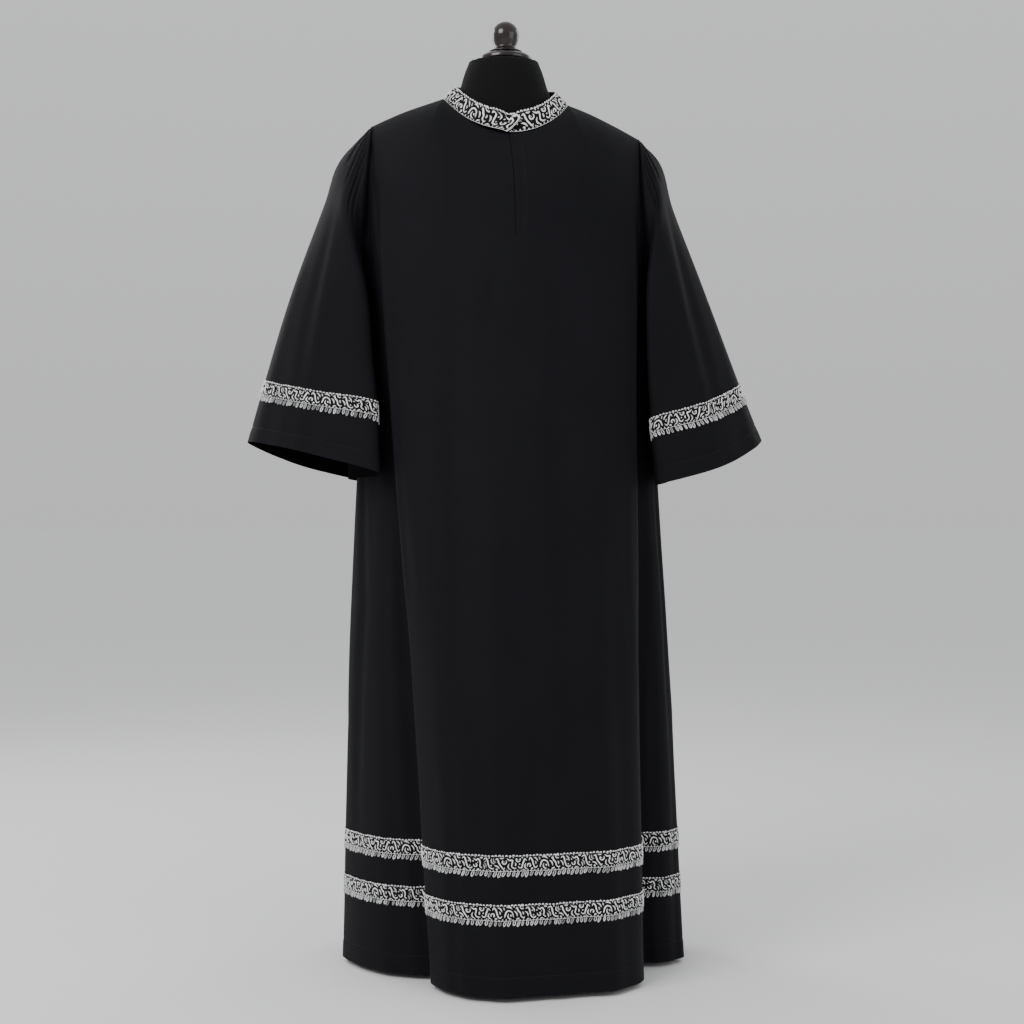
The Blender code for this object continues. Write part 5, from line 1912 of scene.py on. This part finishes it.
@dataclass
class Band:
    """A sewn-on galloon band: its woven ground, its embroidery and, if it has them, its loops."""

    name: str
    strip: Strip
    rests_on: str
    pattern: Galloon
    repeat: Relief
    loops: bool = True
    ground_lift: float = 0.0003
    ground_thickness: float = 0.0008
    loop_pitch: float = 0.0072
    loop_drop: float = 0.0080
    loop_lift: float = 0.0006
    edge_turn: float = 0.0003
    bar_width: float = 0.0019
    bar_clear: float = 0.0042
    bar_lift: float = 0.0028
    seed: int = 1
    bars: tuple[float, ...] = ()

    def ground(self) -> tuple[Thing, Skin]:
        """The ground: a thin shell with slightly turned edges.

        Returns:
            The ground and its skin.
        """
        strip = self.strip
        along = np.linspace(0, strip.length, max(8, round(strip.length / 0.0045)))
        up = strip.width * np.array([1.0, 0.97, 0.8, 0.6, 0.4, 0.2, 0.03, 0.0])
        top = self.ground_lift + self.ground_thickness
        lift = np.full(len(up), top)
        lift[[0, -1]] -= self.edge_turn
        flat = np.stack(np.broadcast_arrays(along[None], up[:, None], lift[:, None]), axis=-1)
        points = strip.place(flat)
        outward = points - strip.place(flat * np.array([1.0, 1.0, 0.0]))
        cloth = Skin(points, grid_normals(points, outward), flat[..., :2], along,
                     np.repeat((strip.width - up)[:, None], len(along), axis=1))
        made = shell(self.name, cloth, self.ground_thickness)
        return dress(made, Finish.GROUND, "galloon", self.name), cloth

    def build(self) -> list[Thing]:
        """Ground, embroidery and loops; the ground's cut cloth is declared.

        Returns:
            The band's pieces.
        """
        ground, cloth = self.ground()
        work = galloon_along(self.repeat, self.pattern, self.strip.length, self.strip.width,
                             self.seed)
        up = np.linspace(0.0004, self.strip.width - 0.0004, 14)
        for along in self.bars:
            way = np.stack([np.full(14, along), up], axis=-1)
            free = np.abs(work.points[work.body, 0] - along) > self.bar_clear
            bar = Stroke(way, np.full(14, self.bar_width), 1.0).mound(self.bar_lift)
            work = joined([work.kept(free), bar])
        work.points[:, 2] += self.ground_lift + self.ground_thickness
        made = [thread_piece(self.name + "_embroidery", self.strip, work)]
        if self.loops:
            hung = loops_along(self.strip.length, self.loop_pitch, self.loop_drop, self.seed)
            hung.points[:, 2] += self.loop_lift
            made.append(thread_piece(self.name + "_loops", self.strip, hung))
        declare(ground, cloth)
        return [ground, *made]


@dataclass
class Stitching:
    """A row of small stitches along a line on a skin."""

    skin: Skin
    name: str
    spacing: float = 0.0036
    length: float = 0.0027
    radius: float = 0.00030
    lift: float = 0.00012

    def build(self, columns: Pair, rows: Pair, count: int, near: float = 0.0) -> Thing:
        """Stitches along a line that is straight on the pattern.

        Args:
            columns: column places of its two ends.
            rows: their row places.
            count: points along the line.
            near: the column whose rows are read.

        Returns:
            The stitches.
        """
        line = np.linspace(*columns, count), np.linspace(*rows, count)
        down, across = self.skin.index(*line, near)
        points, normals = self.skin.at(down, across)
        walked = run_length(points[None], 1)[0]
        count = max(2, int(walked[-1] / self.spacing))
        starts = (np.arange(count) + 0.5) * self.spacing
        part = np.array([-0.5, -0.2, 0.2, 0.5]) * self.length
        spot = (starts[:, None] + part[None, :]).reshape(-1)
        at = between(spot, walked, points)
        facing = unit(between(spot, walked, normals))
        run = unit(between(spot, walked, unit(np.gradient(points, axis=0))))
        side = unit(np.cross(facing, run))
        swell = np.tile(np.array([0.35, 1.0, 1.0, 0.35]), count)[:, None, None]
        angle = TURN * np.arange(4) / 4
        ring = (side[:, None] * np.cos(angle)[None, :, None]
                + facing[:, None] * np.sin(angle)[None, :, None]) * self.radius * swell
        rings = (at + facing * self.lift)[:, None] + ring
        number = np.arange(count * 16).reshape(count, 4, 4)
        ends = np.stack([number[:, 0], number[:, -1, ::-1]], axis=1)
        faces = np.concatenate([tube_walls(number), ends.reshape(-1, 4)])
        vertices = rings.reshape(-1, 3)
        corner = vertices[faces]
        facing_out = np.cross(corner[:, 2] - corner[:, 0], corner[:, 3] - corner[:, 1])
        middle = vertices.reshape(count, 16, 3).mean(axis=1)[faces[:, 0] // 16]
        if (facing_out * (corner.mean(axis=1) - middle)).sum() < 0:
            faces = faces[:, ::-1]
        uv = vertices[faces][..., :2]
        return dress(mesh_object(self.name, vertices, faces, uv), Finish.THREAD, "cloth")


# Dress form


def rounded(profile: tuple[Pair, ...], radius: float) -> Array:
    """Profile whose corners are rounded: each becomes five points of a quadratic curve.

    Args:
        profile: radius and height of each corner.
        radius: how far from a corner its curve starts.

    Returns:
        The profile's points.
    """
    points = np.array(profile)
    before, corner, after = points[:-2], points[1:-1], points[2:]
    back, ahead = before - corner, after - corner
    reach = [np.minimum(radius / np.maximum(np.linalg.norm(v, axis=1), 1e-9), 0.45)[:, None]
             for v in (back, ahead)]
    start, end = corner + back * reach[0], corner + ahead * reach[1]
    t = np.linspace(0, 1, 5)[None, :, None]
    curve = (start[:, None] * (1 - t) ** 2 + corner[:, None] * 2 * t * (1 - t)
             + end[:, None] * t**2)
    return np.concatenate([points[:1], curve.reshape(-1, 2), points[-1:]])


def vertex_places(mesh: bpy.types.Mesh) -> Array:
    """Places of a mesh's vertices, one row each.

    Args:
        mesh: the mesh.

    Returns:
        The places.
    """
    places = np.zeros(len(mesh.vertices) * 3, np.float32)
    mesh.vertices.foreach_get("co", places)
    return places.reshape(-1, 3)


@dataclass
class Turned:
    """A turned piece: its profile of radius and height is carried round the upright axis."""

    name: str
    profile: tuple[Pair, ...]
    radius: float
    slot: str
    steps: int = 72
    pole_radius: float = 0.0006

    def build(self, finish: Finish) -> Thing:
        """The piece: point (r cos a, r sin a, z), with a small flat at each pole.

        Args:
            finish: its finish.

        Returns:
            The turned piece.
        """
        line = rounded(self.profile, self.radius)
        line[[0, -1], 0] = self.pole_radius
        angle = TURN * np.arange(self.steps) / self.steps
        points = np.stack([np.outer(line[:, 0], np.cos(angle)), np.outer(line[:, 0], np.sin(angle)),
                           np.repeat(line[:, 1:], self.steps, axis=1)], axis=-1)
        number = np.arange(points[..., 0].size).reshape(points.shape[:2])
        faces = tube_walls(number)
        caps = [number[0].tolist(), number[-1, ::-1].tolist()]
        uv = points.reshape(-1, 3)[faces][..., :2]
        made = mesh_object(self.name, points, faces, uv, caps=caps)
        return dress(made, finish, self.slot, self.name)


@dataclass
class DressForm:
    """Limbless form under the garment: jersey body and neck, turned cap and knob, and stand."""

    weld_distance: float = 0.00005
    girth_radius: float = 0.12
    neck_axis: Pair = (-0.003, -0.004)
    neck_shares: tuple[Pair, ...] = (
        (1.462, 1.0), (1.480, 0.975), (1.493, 0.958), (1.500, 1.03))
    knob: tuple = (
        (0.0, 1.5680), (0.0085, 1.5668), (0.0160, 1.5618), (0.0210, 1.5545), (0.0229, 1.5460),
        (0.0218, 1.5380), (0.0190, 1.5300), (0.0172, 1.5245), (0.0205, 1.5210), (0.0290, 1.5175),
        (0.0300, 1.5150), (0.0, 1.5150))
    cap: tuple = ((0.0, 1.5147), (0.0290, 1.5147), (0.0400, 1.5100), (0.0450, 1.5060),
                  (0.0450, 1.5003), (0.0, 1.5003))
    hub: tuple = ((0.0, 0.7997), (0.034, 0.7997), (0.034, 0.7900), (0.022, 0.7600),
                  (0.022, 0.7400), (0.0, 0.7400))
    pole: tuple = ((0.0, 0.7397), (0.0165, 0.7397), (0.0165, 0.0363), (0.0, 0.0363))
    base: tuple = ((0.0, 0.0360), (0.024, 0.0360), (0.028, 0.0300), (0.036, 0.0200),
                   (0.128, 0.016), (0.139, 0.0125), (0.142, 0.0070), (0.140, 0.0), (0.0, 0.0))

    def body(self) -> Thing:
        """The torso and neck: the solid's cage with its doubles merged, made smooth.

        Returns:
            The body.
        """
        solid = next(thing for thing in bpy.data.objects
                     if thing.get("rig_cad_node") == "form_torso")
        mesh = solid.data.copy()
        mesh.materials.clear()
        places = vertex_places(mesh)
        heights, shares = zip(*self.neck_shares)
        share = np.interp(places[:, 2], heights, shares)[:, None]
        axis = np.array(self.neck_axis)
        places[:, :2] = axis + (places[:, :2] - axis) * share
        mesh.vertices.foreach_set("co", places.reshape(-1))
        made = linked("form_body", mesh)
        weld = made.modifiers.new("weld", "WELD")
        weld.merge_threshold = self.weld_distance
        soft = made.modifiers.new("soft", "SUBSURF")
        soft.levels = soft.render_levels = 2
        graph = bpy.context.evaluated_depsgraph_get()
        smooth_mesh = bpy.data.meshes.new_from_object(made.evaluated_get(graph))
        made.modifiers.clear()
        made.data = smooth_mesh
        corner = np.zeros(len(smooth_mesh.loops), np.int32)
        smooth_mesh.loops.foreach_get("vertex_index", corner)
        places = vertex_places(smooth_mesh)
        around = np.arctan2(places[:, 0], -places[:, 1]) * self.girth_radius
        flat = np.stack([around, places[:, 2]], axis=-1)[corner]
        smooth_mesh.uv_layers.new(name="flat").uv.foreach_set(
            "vector", flat.reshape(-1).astype(np.float32))
        smooth_mesh.shade_smooth()
        return dress(made, Finish.JERSEY, "form_cloth", "form_torso")

    def build(self) -> list[Thing]:
        """The body and every turned piece of the form.

        Returns:
            The form's pieces.
        """
        wood, metal = Finish.WOOD, Finish.METAL
        return [
            self.body(),
            Turned("form_finial", self.knob, 0.0030, "wood").build(wood),
            Turned("form_neck_cap", self.cap, 0.0016, "wood").build(wood),
            Turned("form_hub", self.hub, 0.0020, "metal").build(metal),
            Turned("form_pole", self.pole, 0.0012, "metal", 48).build(metal),
            Turned("form_base", self.base, 0.0030, "metal", 96).build(metal),
        ]


# The garment


@dataclass
class Underlap:
    """Strip of cloth behind the slit. It follows the front panel from within."""

    columns: Pair = (18.2, 20.8)
    heights: Pair = (1.352, 1.172)
    behind: float = 0.0021
    thickness: float = 0.0008

    def build(self, front: Panel) -> None:
        """Take the strip from the front panel's skin, moved in, and declare its cloth.

        Args:
            front: the front panel.
        """
        columns = np.linspace(*self.columns, 16)
        rows = -np.linspace(*self.heights, 30)[:, None] * np.ones(16)
        points, normals = front.skin.at(*front.skin.index(columns, rows, PATTERN.slit[0]))
        under = Skin(points, normals, laid_flat(points), columns, rows).raised(-self.behind)
        made = shell("placket_underlap", under, self.thickness)
        dress(made, Finish.CLOTH, "cloth", "placket_underlap")
        declare(made, under)


@dataclass
class Garment:
    """The whole alb: cloth, bands and stitching, built in the order a maker sews them."""

    hem_bands: tuple[tuple[str, float, float], ...] = (
        ("upper", 0.1985, 0.2240), ("lower", 0.1235, 0.1490))
    sleeve_band: Pair = (0.80, 0.85)
    slit_stitch_rows: Pair = (0.0, 0.13)
    slit_stitch_columns: Pair = (20.62, 20.42)
    slit_stitch_heights: Pair = (-1.338, -1.190)
    slit_stitch_spacing: float = 0.0034
    lap_bar: float = 0.0018

    def build(self) -> None:
        """Build every piece of the garment and declare its cloth."""
        front = Panel(Face.FRONT, FRONT_FOLDS, FRONT_CREASES)
        back = Panel(Face.BACK, BACK_FOLDS, BACK_CREASES)
        share_side_seams(front, back)
        galloon = Galloon()
        repeat = galloon.repeat()
        seed = 3
        for panel in (front, back):
            cloth = panel.build()
            hem = -(PATTERN.hem + panel.hem_depth)
            line = Stitching(panel.skin, panel.face.name.lower() + "_hem_stitches")
            extra = [line.build((0.0, PATTERN.last_column), (hem, hem), 600)]
            if panel.face is Face.FRONT:
                extra += self.slit_stitches(panel)
            declare(cloth, panel.skin)
            for level, low, high in self.hem_bands:
                strip = Strip(panel.skin, -low, -high, 0.0, PATTERN.last_column)
                name = f"hem_trim_{level}_{panel.face.name.lower()}"
                seed += 1
                Band(name, strip, panel.name, galloon, repeat, seed=seed).build()
        for side in Side:
            sleeve = Sleeve(side)
            cloth = sleeve.build()
            hem = 1 - sleeve.hem_depth / sleeve.usual_length
            line = Stitching(sleeve.skin, sleeve.name + "_cuff_stitches")
            extra = [line.build((0.0, 1.0), (hem, hem), 500)]
            declare(cloth, sleeve.skin)
            strip = Strip(sleeve.skin, self.sleeve_band[1], self.sleeve_band[0], 0.0, 1.0,
                          closed=True)
            seed += 1
            name = "sleeve_trim_" + side.name.lower()
            Band(name, strip, sleeve.name, galloon, repeat, seed=seed).build()
        self.neck(front, galloon, repeat)

    def neck(self, front: Panel, galloon: Galloon, repeat: Relief) -> None:
        """The collar, its galloon and the strip behind the slit.

        Args:
            front: the front panel.
            galloon: the galloon's sizes.
            repeat: one repeat of it.
        """
        collar = Collar()
        cloth = collar.build()
        declare(cloth, collar.skin)
        strip = Strip(collar.skin, 1.0, 0.0, 0.0, collar.round_columns + collar.lap)
        Band("collar_trim", strip, "collar", galloon, repeat, loops=False, seed=17,
             bars=(strip.length - self.lap_bar,)).build()
        Underlap().build(front)

    def slit_stitches(self, panel: Panel) -> list[Thing]:
        """Two rows of stitching beside the slit, on the wearer's left.

        Args:
            panel: the front panel.

        Returns:
            The stitches.
        """
        made = []
        for number, shift in enumerate(self.slit_stitch_rows):
            top, foot = self.slit_stitch_columns
            line = Stitching(panel.skin, f"slit_stitches_{number + 1}", self.slit_stitch_spacing)
            made.append(line.build((top + shift, foot + shift), self.slit_stitch_heights, 60, foot))
        return made


# Studio


@dataclass
class Studio:
    """Pale floor, soft light and the camera at the picture's angle."""

    camera_place: Triple = (0.011, -2.8, 0.75)
    focal: float = 1677.0 / 1024.0 * 36.0
    floor_reach: float = 60.0
    floor_height: float = -0.0006
    floor_colour: Colour = (0.82, 0.82, 0.82, 1)
    horizon: Colour = (0.636, 0.641, 0.647, 1.0)
    sky: Colour = (0.78, 0.79, 0.80, 1.0)
    lights: tuple = (
        # name, place, target, width, strength
        ("key", (-2.2, -2.4, 3.0), (0.0, 0.0, 0.9), 2.0, 95.0),
        ("fill", (2.8, -2.0, 1.6), (0.0, 0.0, 0.8), 2.4, 22.0),
        ("edge_right", (-1.9, 1.7, 2.2), (0.0, 0.0, 0.8), 1.4, 24.0),
        ("edge_left", (1.9, 1.7, 2.2), (0.0, 0.0, 0.8), 1.4, 9.0),
    )

    def build(self) -> None:
        """Make the floor, the world's light, the lamps and the camera."""
        corners = self.floor_reach * np.array([[-1, -1], [1, -1], [1, 1], [-1, 1]])
        points = np.column_stack([corners, np.full(4, self.floor_height)])
        floor = mesh_object("floor", points, np.array([[0, 1, 2, 3]]), corners[None])
        paper = bpy.data.materials.new("pale_floor")
        paper.use_nodes = True
        shader = paper.node_tree.nodes["Principled BSDF"]
        shader.inputs["Base Color"].default_value = self.floor_colour
        shader.inputs["Roughness"].default_value = 0.9
        floor.data.materials.append(paper)
        world = bpy.data.worlds.new("soft_room")
        world.use_nodes = True
        tree = Tree(world.node_tree)
        way = tree.add("ShaderNodeTexCoord").outputs["Generated"]
        height = tree.add("ShaderNodeSeparateXYZ", {0: way}).outputs[2]
        part = tree.add("ShaderNodeMapRange", {0: height, 1: 0.0, 2: 0.45, 3: 0.0, 4: 1.0})
        colour = tree.mix(part.outputs[0], self.horizon, self.sky)
        light = tree.add("ShaderNodeBackground", {"Color": colour, "Strength": 1.0})
        tree.add("ShaderNodeOutputWorld", {"Surface": light.outputs[0]})
        bpy.context.scene.world = world
        for name, place, target, width, strength in self.lights:
            lamp = bpy.data.lights.new(name, "AREA")
            lamp.size, lamp.energy = width, strength
            self.aimed(name, lamp, place, target)
        camera = bpy.data.cameras.new("camera")
        camera.sensor_width, camera.lens = 36.0, self.focal
        place = self.camera_place
        ahead = (place[0], 0.0, place[2])
        bpy.context.scene.camera = self.aimed("camera", camera, place, ahead)

    @staticmethod
    def aimed(name: str, data: object, place: Triple, target: Triple) -> Thing:
        """Lamp or camera in its place, turned to its target.

        Args:
            name: its name.
            data: the lamp or camera.
            place: where it stands.
            target: what it points at.

        Returns:
            The object.
        """
        thing = linked(name, data)
        thing.location = place
        look = np.array(target) - np.array(place)
        flat = math.hypot(look[0], look[1])
        thing.rotation_euler = (math.atan2(flat, -look[2]), 0.0, math.atan2(-look[0], look[1]))
        return thing


def main() -> None:
    """Build the form, the garment and the studio."""
    logging.basicConfig(level=logging.INFO, format="%(message)s")
    DressForm().build()
    Garment().build()
    Studio().build()


if __name__ == "__main__":
    main()
